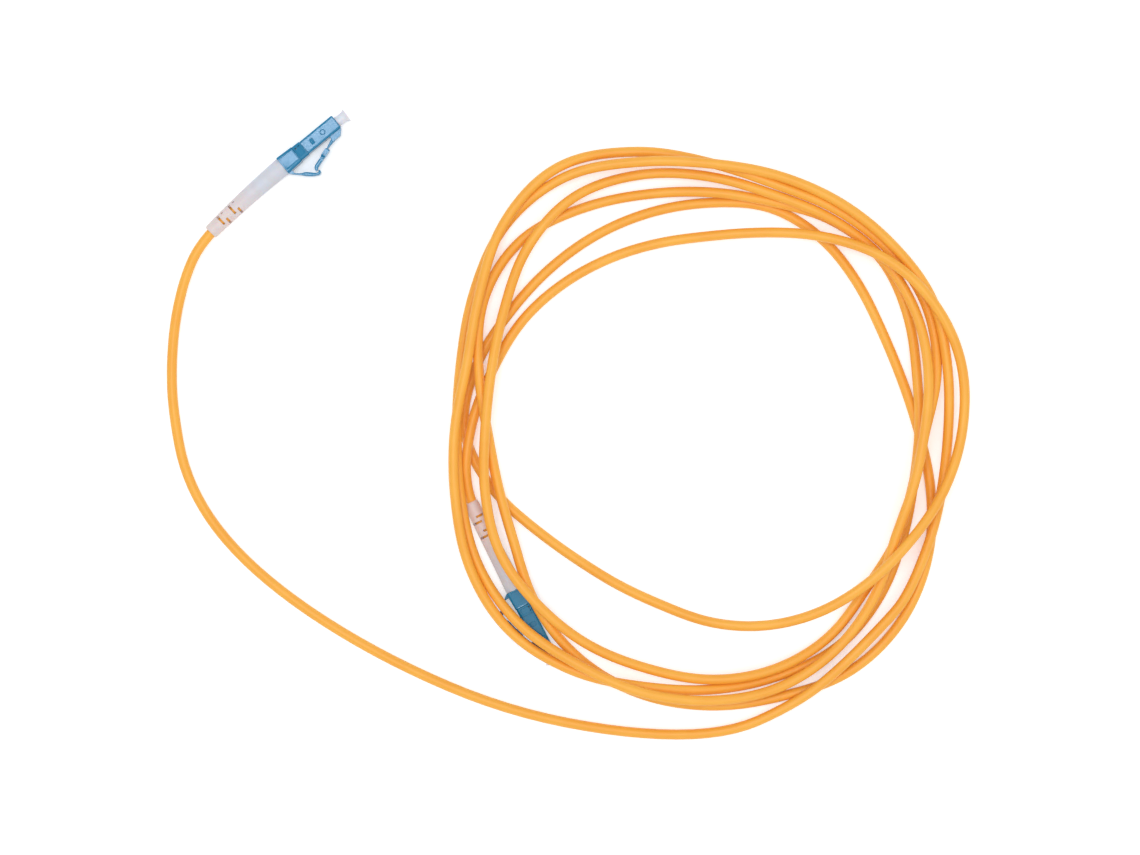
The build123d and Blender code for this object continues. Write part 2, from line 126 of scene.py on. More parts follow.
# The levers' middle lines: (x, distance out of the plug's axis, thickness), in millimetres
LATCH_NECK = [
    (16.6, 3.5, 1.0), (15.8, 3.67, 0.92), (15.0, 3.89, 0.72), (14.3, 4.1, 0.55), (13.8, 4.27, 0.45),
    (13.4, 4.5, 0.45),
]
LATCH_ARM = [
    (13.6, 4.62, 1.0), (13.3, 4.73, 1.08), (11.5, 5.3, 1.12), (9.7, 5.86, 1.14), (8.5, 6.22, 1.12),
    (7.8, 6.42, 1.08), (7.35, 6.68, 1.0), (7.14, 7.05, 0.92), (7.06, 7.35, 0.86), (7.04, 7.56, 0.78),
]
TRIGGER_WEB = [
    (1.0, 3.74, 0.5), (1.5, 4.28, 0.47), (2.2, 4.96, 0.48), (2.8, 5.48, 0.62), (3.3, 5.86, 0.9),
    (3.8, 6.24, 1.1), (4.4, 6.8, 1.14), (5.0, 7.34, 1.08), (5.5, 7.8, 0.94), (6.0, 8.17, 0.84),
    (6.5, 8.42, 0.82), (6.95, 8.5, 0.82), (7.3, 8.36, 0.72), (7.48, 8.08, 0.58), (7.5, 7.88, 0.44),
]
LATCH_CATCH = (12.07, 5.06)
LATCH_CATCH_LENGTH = 2.6
LATCH_RAMP = 0.6
LATCH_POCKET = (12.0, 5.14)
LATCH_SLOPE = 17.5
LATCH_HINGE = (16.6, 3.2)
LATCH_WIDTH = 2.4
LATCH_CATCH_WIDTH = 3.8
TRIGGER_HINGE = (1.0, 3.72)
TRIGGER_WIDTH = 3.2
SIDE_PLAY = 0.06          # how much wider a lever's room is than the lever, in millimetres, as the
                          # sizes below
TRIGGER_ROOM_D = 0.66
TRIGGER_BARREL_D = 0.52
TRIGGER_MOUTH = (0, 4.2, 1.32)  # a mouth's start, end and width, measured along the lever from its hinge
TRIGGER_MOUTH_TURN = -47.0
TRIGGER_MOUTH_OUT = 0.24
LATCH_ROOM_D = 1.3
LATCH_BARREL_D = 1.2
LATCH_MOUTH = (-2.2, 0.3, 1.6)
LATCH_MOUTH_TURN = -14.0
LATCH_MOUTH_OUT = 0.26
LATCH_CATCH_THICK = 1.36
SHELL_ROUND = 0.7         # of the rear shell's long edges
PANEL_BACK = 0.35
PANEL_FRONT = 0.05        # behind the start of the collar
PANEL_ACROSS = (-1.95, 1.85)
PANEL_END_SLOPES = (0.12, 0.42)
PANEL_SIDE_SLOPES = (0.12, 0.36)
PANEL_SLOPE = 0.14
SEAT = (0.05, 1.4, 1.4, 3.7)  # start, end, width and thickness of the block that the trigger stands on
SEAT_OUT = 0.31
SEAT_CHAMFER = 0.8
SHELL_WALL = 1.2          # the rear shell's rear wall
CAVITY_SIZE = 3.8
NECK_ROOM = 4.2
POST_HOLE_D = 4.1
HOUSING_ROUND = 0.42
HOUSING_FRONT_ROUND = 0.38
STUB_START = 1.25         # of the square stub that joins the housing to the rear shell
STUB_SIZE = 3.7
NOSE_OUT = 1.7            # how far the nose under the latch stands out of the housing
NOSE_THICK = 2.05
NOSE_BACK = 0.45          # behind the latch's hinge
NOSE_FRONT = 0.3          # behind the housing's front
NOSE_CHAMFER = 1.5
SPRING_BORE_D = 3.1
FERRULE_HOLE_D = 2.1
CAP_BORE_D = 3.5
WINDOW_HALF = 0.65
WINDOW_WIDTH = 1.9
WINDOW_MIDDLE = 2.53      # of the block that cuts it, over the axis
WINDOW_TILT = 8.0
TAB = (-0.2, 0.55, 0.75, 0.5)  # start and end from the window's rear, width and thickness
TAB_MIDDLE = 1.86
RING_D = 1.75
RING_MIDDLE_D = 1.15
BOOT_BORE_D = 3.06
SLEEVE_BORE_START = -7.9
SLEEVE_BORE_D = 4.2
BOOT_RINGS = 24
SLOT_ROWS = 2
SLOT_FIRST = 4.35         # from the boot's rear end to the first pair of slots
SLOT_PITCH = 4.6
SLOT_STEP = 1.7           # from one pair of slots to the pair that is turned further round
SLOT_TURN = 62.0
SLOT_LENGTH = 0.7
SLOT_REACH = 5.0
SLOT_WIDTH = 3.2
SLOT_FLOOR = 0.9          # from the boot's axis
VENT_TURN = 38.0
VENT_WIDTH = 0.55
VENT_FLOOR = 1.75
CAP_RIM = [               # (behind the cap's front, radius)
    (1.6, 1.6), (1.1, 1.63), (0.75, 1.74), (0.4, 1.92), (0.12, 2.08), (0.0, 2.14), (-0.12, 2.1), (-0.12, 1.8),
    (0.0, 1.68),
]
FERRULE_ROOM_D = 1.8
COLLAR_STEP = 0.15
COLLAR_RIM = 0.4
COLLAR_DEPTH = 0.14
SNAP_HOLES = ((5.95, 0.55, 0.45, -1.35), (7.0, 0.6, 0.22, -1.5))  # each (x, length, width, distance out)
CAP_BORE_DEPTH = 2.9
CAP_LENGTH = 5.9
CAP_VISIBLE = 3.5
WINDOW_TO_TIP = 9.9
MARK_TO_TIP = 5.2
PLUG_PLACE = "plug_place"  # each vertex's place in its plug's own frame, kept on every plug piece
DIE_LINE_WIDTH = 0.35
DIE_LINE_LENGTH = 60.0
FLOOR_SIZE = 4            # in metres, as the lamps' places
FLOOR_LIFT = 0.36
KEY_LAMP = (-0.155, 0.148, 1.2)
FILL_LAMP = (0.25, -0.25, 1.6)
BOOT_CLEAR = 6.0          # how far the cable keeps its height as it leaves a boot
TAIL_START = 3.9          # the cable's first free point stands this far behind boot a
BOOT_MIDDLE = -17.0       # where the cable is held inside boot a


def along(plug, x, out=0.0, height=0.0):
    """A place of a plug's own frame, in the part's frame, both in millimetres."""
    heading = math.radians(plug["heading"])
    east = plug["at"][0] + x * math.cos(heading) + out * math.sin(heading)
    north = plug["at"][1] + x * math.sin(heading) - out * math.cos(heading)
    return Vector((east, north, AXIS_HEIGHT + height))


def in_plug(plug, place):
    """How far forward and how far out to the latch side of a plug's axis a place lies."""
    heading = math.radians(plug["heading"])
    east, north = place.x - plug["at"][0], place.y - plug["at"][1]
    forward = east * math.cos(heading) + north * math.sin(heading)
    return forward, east * math.sin(heading) - north * math.cos(heading)


def smooth_between(before, start, end, after, part):
    """So far of the way from start to end, on a smooth curve through all four."""
    rise = 2 * before - 5 * start + 4 * end - after
    bend = 3 * start - before - 3 * end + after
    return start + 0.5 * part * (end - before + part * (rise + part * bend))


def coil_distance(turned):
    """The coil's distance from its middle, so many stations after its start, on a smooth curve."""
    stations = [distance for turn in COIL_TURNS for distance in turn]
    here = min(int(turned), len(stations) - 2)
    before = stations[max(here - 1, 0)]
    after = stations[min(here + 2, len(stations) - 1)]
    return smooth_between(before, stations[here], stations[here + 1], after, turned - here)


def coil_plan():
    """The coil's places and how many degrees each lies round it, from plug b's boot on."""
    stations = sum(len(turn) for turn in COIL_TURNS)
    places, turned = [], 0.0
    while turned <= stations - 1:
        distance = coil_distance(turned)
        angle = math.radians(COIL_START - turned * COIL_STEP)
        east = COIL_AT[0] + distance * math.cos(angle)
        north = COIL_AT[1] + distance * math.sin(angle)
        places.append((Vector((east, north, 0.0)), turned * COIL_STEP))
        turned += math.degrees(STRAND_STEP / distance) / COIL_STEP
    return places


def pile_place(turned):
    return [place for start, place in PILE if start <= turned][-1]


def plug_reach(plug, node):
    """From where to where a node reaches forward and out of its plug's axis, and its top."""
    places = [in_plug(plug, vertex.co / MM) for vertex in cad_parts[node].data.vertices]
    forward, out = zip(*places)
    return min(forward), max(forward), min(out), max(out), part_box(node)[1].z / MM


def lowest_over_plug(place, radius, reaches):
    """How high the cable's middle has to lie at this place to pass over plug b, or 0."""
    forward, out = in_plug(PLUGS["b"], place)
    heights = [0.0]
    if -BOOT_LENGTH < forward < 0:
        boot = (BOOT_FRONT_D + (BOOT_FRONT_D - BOOT_REAR_D) * forward / BOOT_LENGTH) / 2
        reach = boot + radius + LAY_GAP
        if abs(out) < reach:
            heights.append(AXIS_HEIGHT + math.sqrt(reach ** 2 - out ** 2))
    for back, front, inner, outer, top in reaches:
        aside = max(inner - out, out - outer, back - forward, forward - front, 0.0)
        if aside < radius:
            heights.append(top + math.sqrt(radius ** 2 - aside ** 2) + LAY_GAP)
    return max(heights)


def hump_drops():
    """How far a strand may drop at each step away from a place where it is held up."""
    drops, drop = [], 0.0
    for step in range(1, HUMP_STEPS):
        drop += STRAND_STEP * min(step * STRAND_STEP / BEND_RADIUS, STEEPEST)
        drops.append(drop)
    return drops


def eased(held):
    """The heights of a stiff strand that is held up to these heights and bends no tighter."""
    heights = held.copy()
    for offset, drop in enumerate(hump_drops(), 1):
        heights[offset:] = np.maximum(heights[offset:], held[:-offset] - drop)
        heights[:-offset] = np.maximum(heights[:-offset], held[offset:] - drop)
    bend = STRAND_STEP ** 2 / (2 * BEND_RADIUS)
    for _ in range(FOOT_ROUNDS):
        heights[1:-1] = np.maximum(heights[1:-1], (heights[:-2] + heights[2:]) / 2 - bend)
    return heights


def lay_strands(plan, radius):
    """Heights at which the coil's strands rest on the floor, on plug b and on one another."""
    places = [place for place, _ in plan]
    order = [pile_place(turned) for _, turned in plan]
    reach = 2 * radius + LAY_GAP
    tree = kdtree.KDTree(len(places))
    for index, place in enumerate(places):
        tree.insert(place, index)
    tree.balance()
    crossings = []
    for index, place in enumerate(places):
        for _, other, apart in tree.find_range(place, reach):
            if order[other] < order[index] and abs(other - index) > SAME_STRAND:
                crossings.append((index, other, math.sqrt(reach ** 2 - apart ** 2)))
    upper, lower, rise = (np.array(column) for column in zip(*crossings))
    nodes = ("rear_shell_b", "plug_housing_b", "latch_lever_b", "trigger_lever_b", "dust_cap_b")
    reaches = [plug_reach(PLUGS["b"], node) for node in nodes]
    floor = np.array([max(radius, lowest_over_plug(place, radius, reaches)) for place in places])
    floor[:int(BOOT_CLEAR / STRAND_STEP)] = AXIS_HEIGHT
    floor[-1] = TAIL[-1][2]
    heights = floor
    for _ in range(LAY_ROUNDS):
        held = floor.copy()
        np.maximum.at(held, upper, heights[lower] + rise)
        laid = eased(held)
        moved = np.max(np.abs(laid - heights))
        heights = laid
        if moved < LAY_DONE:
            break
    return heights


def cable_route(radius):
    """The control points of the whole cable, from inside plug b's boot to inside plug a's."""
    plug_a, plug_b = PLUGS["a"], PLUGS["b"]
    points = [along(plug_b, x) for x in (JACKET_END, -BOOT_LENGTH / 2, -BOOT_LENGTH)]
    plan = coil_plan()
    heights = lay_strands(plan, radius)
    for index in range(POINT_EVERY, len(plan), POINT_EVERY):
        place = plan[index][0]
        points.append(Vector((place.x, place.y, heights[index])))
    points += [Vector(corner) for corner in reversed(TAIL)]
    in_boot = (-BOOT_LENGTH - TAIL_START, BOOT_MIDDLE, JACKET_END)
    points += [along(plug_a, x, leaning_out(plug_a, x)) for x in in_boot]
    return [point * MM for point in points]


def leaning_out(plug, x):
    """How far a bent boot's middle has leant out of the plug's axis, so far along it."""
    return math.radians(plug["boot_bend"]) * x ** 2 / (2 * BOOT_LENGTH)


def linear(hex_colour):
    """An sRGB hex colour as the linear numbers that sockets take."""
    parts = [int(hex_colour[i:i + 2], 16) / 255 for i in (1, 3, 5)]
    return tuple(c / 12.92 if c <= 0.04045 else ((c + 0.055) / 1.055) ** 2.4 for c in parts)


def clear_selection():
    bpy.ops.object.select_all(action="DESELECT")


# Materials. A pattern's scale comes from the size of its grain in millimetres.

def new_material(name):
    material = bpy.data.materials.new(name)
    material.use_nodes = True
    tree = material.node_tree
    return material, tree, tree.nodes["Principled BSDF"]


def add_node(tree, kind, settings=None, links=None):
    """Adds a node, gives it its settings and links its inputs."""
    node = tree.nodes.new(kind)
    for name, value in (settings or {}).items():
        if isinstance(name, int) or name in node.inputs:
            node.inputs[name].default_value = value
        else:
            setattr(node, name, value)
    for name, source in (links or {}).items():
        tree.links.new(source, node.inputs[name])
    return node


def set_shader(shader, **sockets):
    """Sets the shader's own sockets, such as Specular_IOR_Level for Specular IOR Level."""
    for name, value in sockets.items():
        shader.inputs[name.replace("_", " ")].default_value = value


def link_surface(tree, shader, colour, rough, bump):
    """Gives the shader its colour, from a Mix node, its roughness and its bump."""
    tree.links.new(colour.outputs[2], shader.inputs["Base Color"])
    tree.links.new(rough.outputs[0], shader.inputs["Roughness"])
    tree.links.new(bump.outputs[0], shader.inputs["Normal"])


def per_mm(grain):
    """The scale at which a pattern's grains measure so many millimetres in Object coordinates."""
    return 1 / (grain * MM)


def opaque(colour):
    return (*colour, 1.0)


def extruded_pvc(size):
    # PVC drawn through a die: an even satin skin with faint lines along it and a soft, fine grain
    material, tree, shader = new_material("extruded PVC jacket")
    set_shader(shader, IOR=1.53, Subsurface_Weight=0.06, Subsurface_Scale=0.001)
    coords = add_node(tree, "ShaderNodeTexCoord")
    flat = add_node(tree, "ShaderNodeSeparateXYZ", links={0: coords.outputs["UV"]})
    turn = add_node(tree, "ShaderNodeMath", {"operation": "MULTIPLY", 1: math.tau}, {0: flat.outputs["Y"]})
    east = add_node(tree, "ShaderNodeMath", {"operation": "COSINE"}, {0: turn.outputs[0]})
    north = add_node(tree, "ShaderNodeMath", {"operation": "SINE"}, {0: turn.outputs[0]})
    run = add_node(tree, "ShaderNodeMath", {"operation": "MULTIPLY", 1: size.length / (DIE_LINE_LENGTH * MM)},
                   {0: flat.outputs["X"]})
    round_it = add_node(tree, "ShaderNodeCombineXYZ",
                        links={0: east.outputs[0], 1: north.outputs[0], 2: run.outputs[0]})
    lines = add_node(tree, "ShaderNodeTexNoise",
                     {"Scale": size.diameter / 2 / (DIE_LINE_WIDTH * MM), "Detail": 1.0},
                     {"Vector": round_it.outputs[0]})
    grain = add_node(tree, "ShaderNodeTexNoise", {"Scale": per_mm(0.25), "Detail": 3.0},
                     {"Vector": coords.outputs["Object"]})
    cloud = add_node(tree, "ShaderNodeTexNoise", {"Scale": per_mm(14.0), "Detail": 2.0},
                     {"Vector": coords.outputs["Object"]})
    tone = add_node(tree, "ShaderNodeMapRange", {"From Min": 0.35, "From Max": 0.65},
                    {"Value": cloud.outputs[0]})
    streak = add_node(tree, "ShaderNodeMapRange", {"From Min": 0.3, "From Max": 0.7, "To Max": 0.35},
                      {"Value": lines.outputs[0]})
    base = add_node(tree, "ShaderNodeMix",
                    {"data_type": "RGBA", 6: opaque(size.colour), 7: opaque(linear("#FFB842"))},
                    {0: tone.outputs[0]})
    streaked = add_node(tree, "ShaderNodeMix", {"data_type": "RGBA", 7: opaque(linear("#F3A232"))},
                        {0: streak.outputs[0], 6: base.outputs[2]})
    rough = add_node(tree, "ShaderNodeMapRange", {"To Min": 0.38, "To Max": 0.52},
                     {"Value": grain.outputs[0]})
    line_bump = add_node(tree, "ShaderNodeBump", {"Strength": 0.2, "Distance": 0.02 * MM},
                         {"Height": lines.outputs[0]})
    bump = add_node(tree, "ShaderNodeBump", {"Strength": 0.25, "Distance": 0.015 * MM},
                    {"Height": grain.outputs[0], "Normal": line_bump.outputs[0]})
    link_surface(tree, shader, streaked, rough, bump)
    return material


def moulded_polycarbonate(size):
    # Glossy moulded plastic: a spark-eroded grain, faint flow clouds and small dull scuffs from handling
    name = "moulded blue polycarbonate"
    if name in bpy.data.materials:
        return bpy.data.materials[name]
    material, tree, shader = new_material(name)
    set_shader(shader, IOR=1.58, Specular_IOR_Level=0.36)
    coords = add_node(tree, "ShaderNodeTexCoord").outputs["Object"]
    cloud = add_node(tree, "ShaderNodeTexNoise", {"Scale": per_mm(2.2), "Detail": 2.0}, {"Vector": coords})
    scuff = add_node(tree, "ShaderNodeTexNoise", {"Scale": per_mm(0.45), "Detail": 6.0, "Roughness": 0.75},
                     {"Vector": coords})
    grain = add_node(tree, "ShaderNodeTexNoise", {"Scale": per_mm(0.09), "Detail": 2.0}, {"Vector": coords})
    deep = tuple(c * 0.82 for c in size.colour)
    flow = add_node(tree, "ShaderNodeMix",
                    {"data_type": "RGBA", 6: opaque(size.colour), 7: opaque(deep)},
                    {0: cloud.outputs[0]})
    worn = add_node(tree, "ShaderNodeMapRange",
                    {"From Min": 0.56, "From Max": 0.68, "To Max": 0.05}, {"Value": scuff.outputs[0]})
    colour = add_node(tree, "ShaderNodeMix", {"data_type": "RGBA", 7: opaque(linear("#9CC6DC"))},
                      {0: worn.outputs[0], 6: flow.outputs[2]})
    rough = add_node(tree, "ShaderNodeMapRange",
                     {"From Min": 0.35, "From Max": 0.7, "To Min": 0.13, "To Max": 0.22},
                     {"Value": scuff.outputs[0]})
    bump = add_node(tree, "ShaderNodeBump", {"Strength": 0.12, "Distance": 0.01 * MM},
                    {"Height": grain.outputs[0]})
    link_surface(tree, shader, colour, rough, bump)
    return material


def moulded_elastomer(size):
    # Soft white moulding: a little light passes through it, so it is warm where the cable fills it
    # and cool at its crimp end
    material, tree, shader = new_material("moulded white elastomer")
    set_shader(shader, IOR=1.5, Subsurface_Weight=0.15, Subsurface_Scale=0.002)
    place = add_node(tree, "ShaderNodeAttribute", {"attribute_name": PLUG_PLACE})
    flat = add_node(tree, "ShaderNodeSeparateXYZ", links={0: place.outputs["Vector"]})
    forward = add_node(tree, "ShaderNodeMapRange",
                       {"From Min": -BOOT_LENGTH * 0.72, "From Max": -BOOT_LENGTH * 0.3},
                       {"Value": flat.outputs[0]})
    coords = add_node(tree, "ShaderNodeTexCoord").outputs["Object"]
    cloud = add_node(tree, "ShaderNodeTexNoise", {"Scale": per_mm(3.0), "Detail": 3.0}, {"Vector": coords})
    grain = add_node(tree, "ShaderNodeTexNoise", {"Scale": per_mm(0.14), "Detail": 3.0}, {"Vector": coords})
    body = add_node(tree, "ShaderNodeMix",
                    {"data_type": "RGBA", 6: opaque(size.rear_colour), 7: opaque(size.front_colour)},
                    {0: forward.outputs[0]})
    tone = add_node(tree, "ShaderNodeMapRange", {"From Min": 0.4, "From Max": 0.7, "To Max": 0.22},
                    {"Value": cloud.outputs[0]})
    colour = add_node(tree, "ShaderNodeMix", {"data_type": "RGBA", 7: opaque(linear("#C9B8B4"))},
                      {0: tone.outputs[0], 6: body.outputs[2]})
    rough = add_node(tree, "ShaderNodeMapRange", {"To Min": 0.4, "To Max": 0.6}, {"Value": grain.outputs[0]})
    bump = add_node(tree, "ShaderNodeBump", {"Strength": 0.3, "Distance": 0.015 * MM},
                    {"Height": grain.outputs[0]})
    link_surface(tree, shader, colour, rough, bump)
    return material


def moulded_polyethylene(size):
    # Milky moulded cap: light gathers in its walls, with a waxy skin and faint cloudy flow
    material, tree, shader = new_material("moulded milky polyethylene")
    set_shader(shader, IOR=1.51, Subsurface_Weight=0.2, Subsurface_Scale=0.0008)
    coords = add_node(tree, "ShaderNodeTexCoord").outputs["Object"]
    cloud = add_node(tree, "ShaderNodeTexNoise", {"Scale": per_mm(1.1), "Detail": 3.0}, {"Vector": coords})
    grain = add_node(tree, "ShaderNodeTexNoise", {"Scale": per_mm(0.12), "Detail": 2.0}, {"Vector": coords})
    colour = add_node(tree, "ShaderNodeMix",
                      {"data_type": "RGBA", 6: opaque(size.cap_colour), 7: opaque(linear("#EAEAF0"))},
                      {0: cloud.outputs[0]})
    rough = add_node(tree, "ShaderNodeMapRange", {"To Min": 0.25, "To Max": 0.42},
                     {"Value": cloud.outputs[0]})
    bump = add_node(tree, "ShaderNodeBump", {"Strength": 0.15, "Distance": 0.01 * MM},
                    {"Height": grain.outputs[0]})
    link_surface(tree, shader, colour, rough, bump)
    return material


def stretched_grain(tree, plug_name, grain):
    """Noise in a plug's own directions, whose grains measure so many millimetres along each."""
    coords = add_node(tree, "ShaderNodeTexCoord").outputs["Object"]
    heading = math.radians(PLUGS[plug_name]["heading"])
    turned = add_node(tree, "ShaderNodeVectorRotate", {"rotation_type": "Z_AXIS", "Angle": -heading},
                      {"Vector": coords})
    scaled = add_node(tree, "ShaderNodeMapping", {"Scale": tuple(per_mm(side) for side in grain)},
                      {"Vector": turned.outputs[0]})
    noise = add_node(tree, "ShaderNodeTexNoise", {"Scale": 1.0, "Detail": 3.0}, {"Vector": scaled.outputs[0]})
    return noise.outputs[0]


def finish_from_grain(tree, shader, pattern, colours, rough, depth):
    """Colour, roughness and bump that follow one pattern."""
    colour = add_node(tree, "ShaderNodeMix",
                      {"data_type": "RGBA", 6: opaque(linear(colours[0])), 7: opaque(linear(colours[1]))},
                      {0: pattern})
    value = add_node(tree, "ShaderNodeMapRange",
                     {"From Min": 0.3, "From Max": 0.7, "To Min": rough[0], "To Max": rough[1]},
                     {"Value": pattern})
    bump = add_node(tree, "ShaderNodeBump", {"Strength": 0.4, "Distance": depth * MM}, {"Height": pattern})
    link_surface(tree, shader, colour, value, bump)


# The finishes inside a plug. Each has its material, what its shader is given directly, its grain's
# size in millimetres along and across the plug, its two colours, its least and most roughness, and
# the grain's depth.
INNER_FINISHES = {
    # Brass turned on a lathe and nickel plated: warm grey, with fine rings round it
    "crimp_post": ("turned nickel-plated brass", {"Metallic": 1.0},
                   (0.06, 3, 3), ("#A8A39A", "#CFCBC2"), (0.22, 0.38), 0.01),
    # Stainless steel turned to a close fit: cooler and brighter, with finer rings
    "ferrule_flange": ("turned stainless steel", {"Metallic": 1.0},
                       (0.04, 3, 3), ("#B3B4B4", "#D3D4D3"), (0.16, 0.3), 0.006),
    # Ceramic ground and polished: dense warm white that is almost a mirror, with the faintest
    # grinding lines
    "ferrule": ("polished zirconia", {"IOR": 2.1, "Subsurface_Weight": 0.1, "Subsurface_Scale": 0.0004},
                (0.05, 1, 1), ("#EDE9DF", "#F5F2EA"), (0.06, 0.14), 0.002),
    # Pure drawn glass: clear, with a polished end
    "glass_fibre": ("drawn silica glass", {"IOR": 1.46, "Transmission_Weight": 1.0},
                    (2, 0.05, 0.05), ("#EFF6F8", "#FFFFFF"), (0.01, 0.04), 0.001),
    # Tight plastic coating on the fibre: plain white, slightly waxy, with lines along it from the die
    "fibre_buffer": ("extruded white nylon",
                     {"IOR": 1.53, "Subsurface_Weight": 0.15, "Subsurface_Scale": 0.0005},
                     (4, 0.12, 0.12), ("#E6E3DA", "#F4F2EC"), (0.3, 0.45), 0.006),
    # Hard drawn wire: grey and a little uneven, with dull streaks from drawing
    "ferrule_spring": ("drawn spring steel", {"Metallic": 1.0},
                       (0.25, 0.08, 0.08), ("#8F9192", "#BFC1C2"), (0.2, 0.42), 0.008),
    # Soft aluminium tube pressed in a crimp tool: pale, with matt pressed flats between brighter streaks
    "crimp_sleeve": ("crimped aluminium", {"Metallic": 1.0},
                     (0.9, 0.4, 0.4), ("#B4B6B8", "#DADCDD"), (0.28, 0.5), 0.03),
    # Loose aramid filaments: straw yellow, silky along their length, in bundles a few tenths wide
    "aramid_yarn": ("loose aramid filament", {"IOR": 1.6, "Sheen_Weight": 0.3, "Sheen_Roughness": 0.4},
                    (5, 0.15, 0.15), ("#B8922E", "#E6CB74"), (0.4, 0.65), 0.05),
}


def inner_material(piece, plug_name):
    """The finish of a piece inside a plug, with its grain turned to that plug's heading."""
    name, sockets, grain, colours, rough, depth = INNER_FINISHES[piece]
    material, tree, shader = new_material(f"{name} {plug_name}")
    set_shader(shader, **sockets)
    finish_from_grain(tree, shader, stretched_grain(tree, plug_name, grain), colours, rough, depth)
    return material


def matt_board():
    # White painted board: matt, with a very faint roller grain; what the camera sees of it is lifted
    # towards white
    material, tree, shader = new_material("matt white board")
    coords = add_node(tree, "ShaderNodeTexCoord").outputs["Object"]
    grain = add_node(tree, "ShaderNodeTexNoise", {"Scale": per_mm(1.5), "Detail": 3.0}, {"Vector": coords})
    colour = add_node(tree, "ShaderNodeMix",
                      {"data_type": "RGBA", 6: opaque(linear("#F6F6F6")), 7: opaque(linear("#F8F8F8"))},
                      {0: grain.outputs[0]})
    set_shader(shader, Roughness=0.9, Specular_IOR_Level=0.1)
    tree.links.new(colour.outputs[2], shader.inputs["Base Color"])
    rays = add_node(tree, "ShaderNodeLightPath")
    seen = add_node(tree, "ShaderNodeMath", {"operation": "MAXIMUM"},
                    {0: rays.outputs["Is Camera Ray"], 1: rays.outputs["Is Glossy Ray"]})
    seen = add_node(tree, "ShaderNodeMath", {"operation": "MAXIMUM"},
                    {0: seen.outputs[0], 1: rays.outputs["Is Transmission Ray"]})
    lift = add_node(tree, "ShaderNodeMath", {"operation": "MULTIPLY", 1: FLOOR_LIFT}, {0: seen.outputs[0]})
    glow = add_node(tree, "ShaderNodeEmission", links={"Strength": lift.outputs[0]})
    both = add_node(tree, "ShaderNodeAddShader", links={0: shader.outputs[0], 1: glow.outputs[0]})
    tree.links.new(both.outputs[0], tree.nodes["Material Output"].inputs["Surface"])
    return material


class PATCHCORD_OT_camera(bpy.types.Operator):
    """Stands the camera straight over the cord"""
    bl_idname = "patchcord.camera"
    bl_label = "Camera"

    def execute(self, context):
        clear_selection()
        look = context.scene.patch_cord_stage
        eye = (look.eye_x, look.eye_y, look.eye_height)
        bpy.ops.object.camera_add(location=eye, rotation=(0, 0, 0))
        camera = context.object
        camera.name = "camera_over_cord"
        camera.data.sensor_width = 36
        camera.data.lens = camera.data.sensor_width * look.eye_height / look.view_width
        camera.data.clip_start = 0.01
        camera.data.clip_end = 20
        camera.data.dof.use_dof = False
        context.scene.camera = camera
        return {"FINISHED"}


class PATCHCORD_OT_cable(bpy.types.Operator):
    """Lays the cable as one spline from plug b through the coil to plug a"""
    bl_idname = "patchcord.cable"
    bl_label = "Cable"

    def execute(self, context):
        size = context.scene.patch_cord_cable
        radius = size.diameter / 2
        route = cable_route(radius / MM)
        data = bpy.data.curves.new("cable", "CURVE")
        data.dimensions = "3D"
        data.resolution_u = 6
        data.bevel_depth = radius
        data.bevel_resolution = 6
        data.use_fill_caps = True
        spline = data.splines.new("NURBS")
        spline.points.add(len(route) - 1)
        for point, place in zip(spline.points, route):
            point.co = (*place, 1.0)
        spline.order_u = 3
        spline.use_endpoint_u = True
        spline.use_smooth = True
        cable = bpy.data.objects.new("cable", data)
        context.scene.collection.objects.link(cable)
        cable.data.materials.append(extruded_pvc(size))
        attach(cable, "cord_and_plugs")
        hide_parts("cord_tail", "cord_lead", "cord_coil")
        return {"FINISHED"}


# A plug's pieces are modelled in millimetres in the plug's own frame, then put in place.

def start_piece(name, add, **how):
    """Adds a primitive as a new piece, with nothing else selected."""
    clear_selection()
    add(**how)
    piece = bpy.context.object
    piece.name = name
    bpy.ops.object.transform_apply(location=True, rotation=True, scale=True)
    return piece


def start_block(name, start, end, width, thick, out=0.0):
    """A bar from start to end along x, width across and thick high, its middle out of the axis."""
    return start_piece(name, bpy.ops.mesh.primitive_cube_add, size=1,
                       location=((start + end) / 2, -out, 0), scale=(end - start, width, thick))


def start_rod(name, start, end, diameter, rear_diameter=None, sides=64):
    """A round bar or cone from start to end along x."""
    rear = diameter if rear_diameter is None else rear_diameter
    return start_piece(name, bpy.ops.mesh.primitive_cone_add, vertices=sides, radius1=rear / 2,
                       radius2=diameter / 2, depth=end - start, location=((start + end) / 2, 0, 0),
                       rotation=(0, math.pi / 2, 0))


def start_pin(name, place, diameter, width):
    """A round bar across the plug at (x, distance out)."""
    return start_piece(name, bpy.ops.mesh.primitive_cylinder_add, vertices=32, radius=diameter / 2,
                       depth=width, location=(place[0], -place[1], 0))


def pick(piece, kind, test):
    """Opens a piece in edit mode with only those of its faces or edges selected that pass a test."""
    bpy.context.view_layer.objects.active = piece
    bpy.ops.object.mode_set(mode="EDIT")
    bpy.ops.mesh.select_mode(type=kind)
    bpy.ops.mesh.select_all(action="DESELECT")
    shape = bmesh.from_edit_mesh(piece.data)
    for each in shape.faces if kind == "FACE" else shape.edges:
        each.select_set(test(each))
    bmesh.update_edit_mesh(piece.data)


def done():
    bpy.ops.object.mode_set(mode="OBJECT")


def bevel_edges(piece, test, offset, segments=1):
    """Bevels those of a piece's edges that pass a test."""
    pick(piece, "EDGE", test)
    bpy.ops.mesh.bevel(offset=offset, segments=segments, affect="EDGES")
    done()


def face_outwards():
    """Turns every face of the piece in edit mode outwards, and leaves edit mode."""
    bpy.ops.mesh.select_all(action="SELECT")
    bpy.ops.mesh.normals_make_consistent(inside=False)
    done()


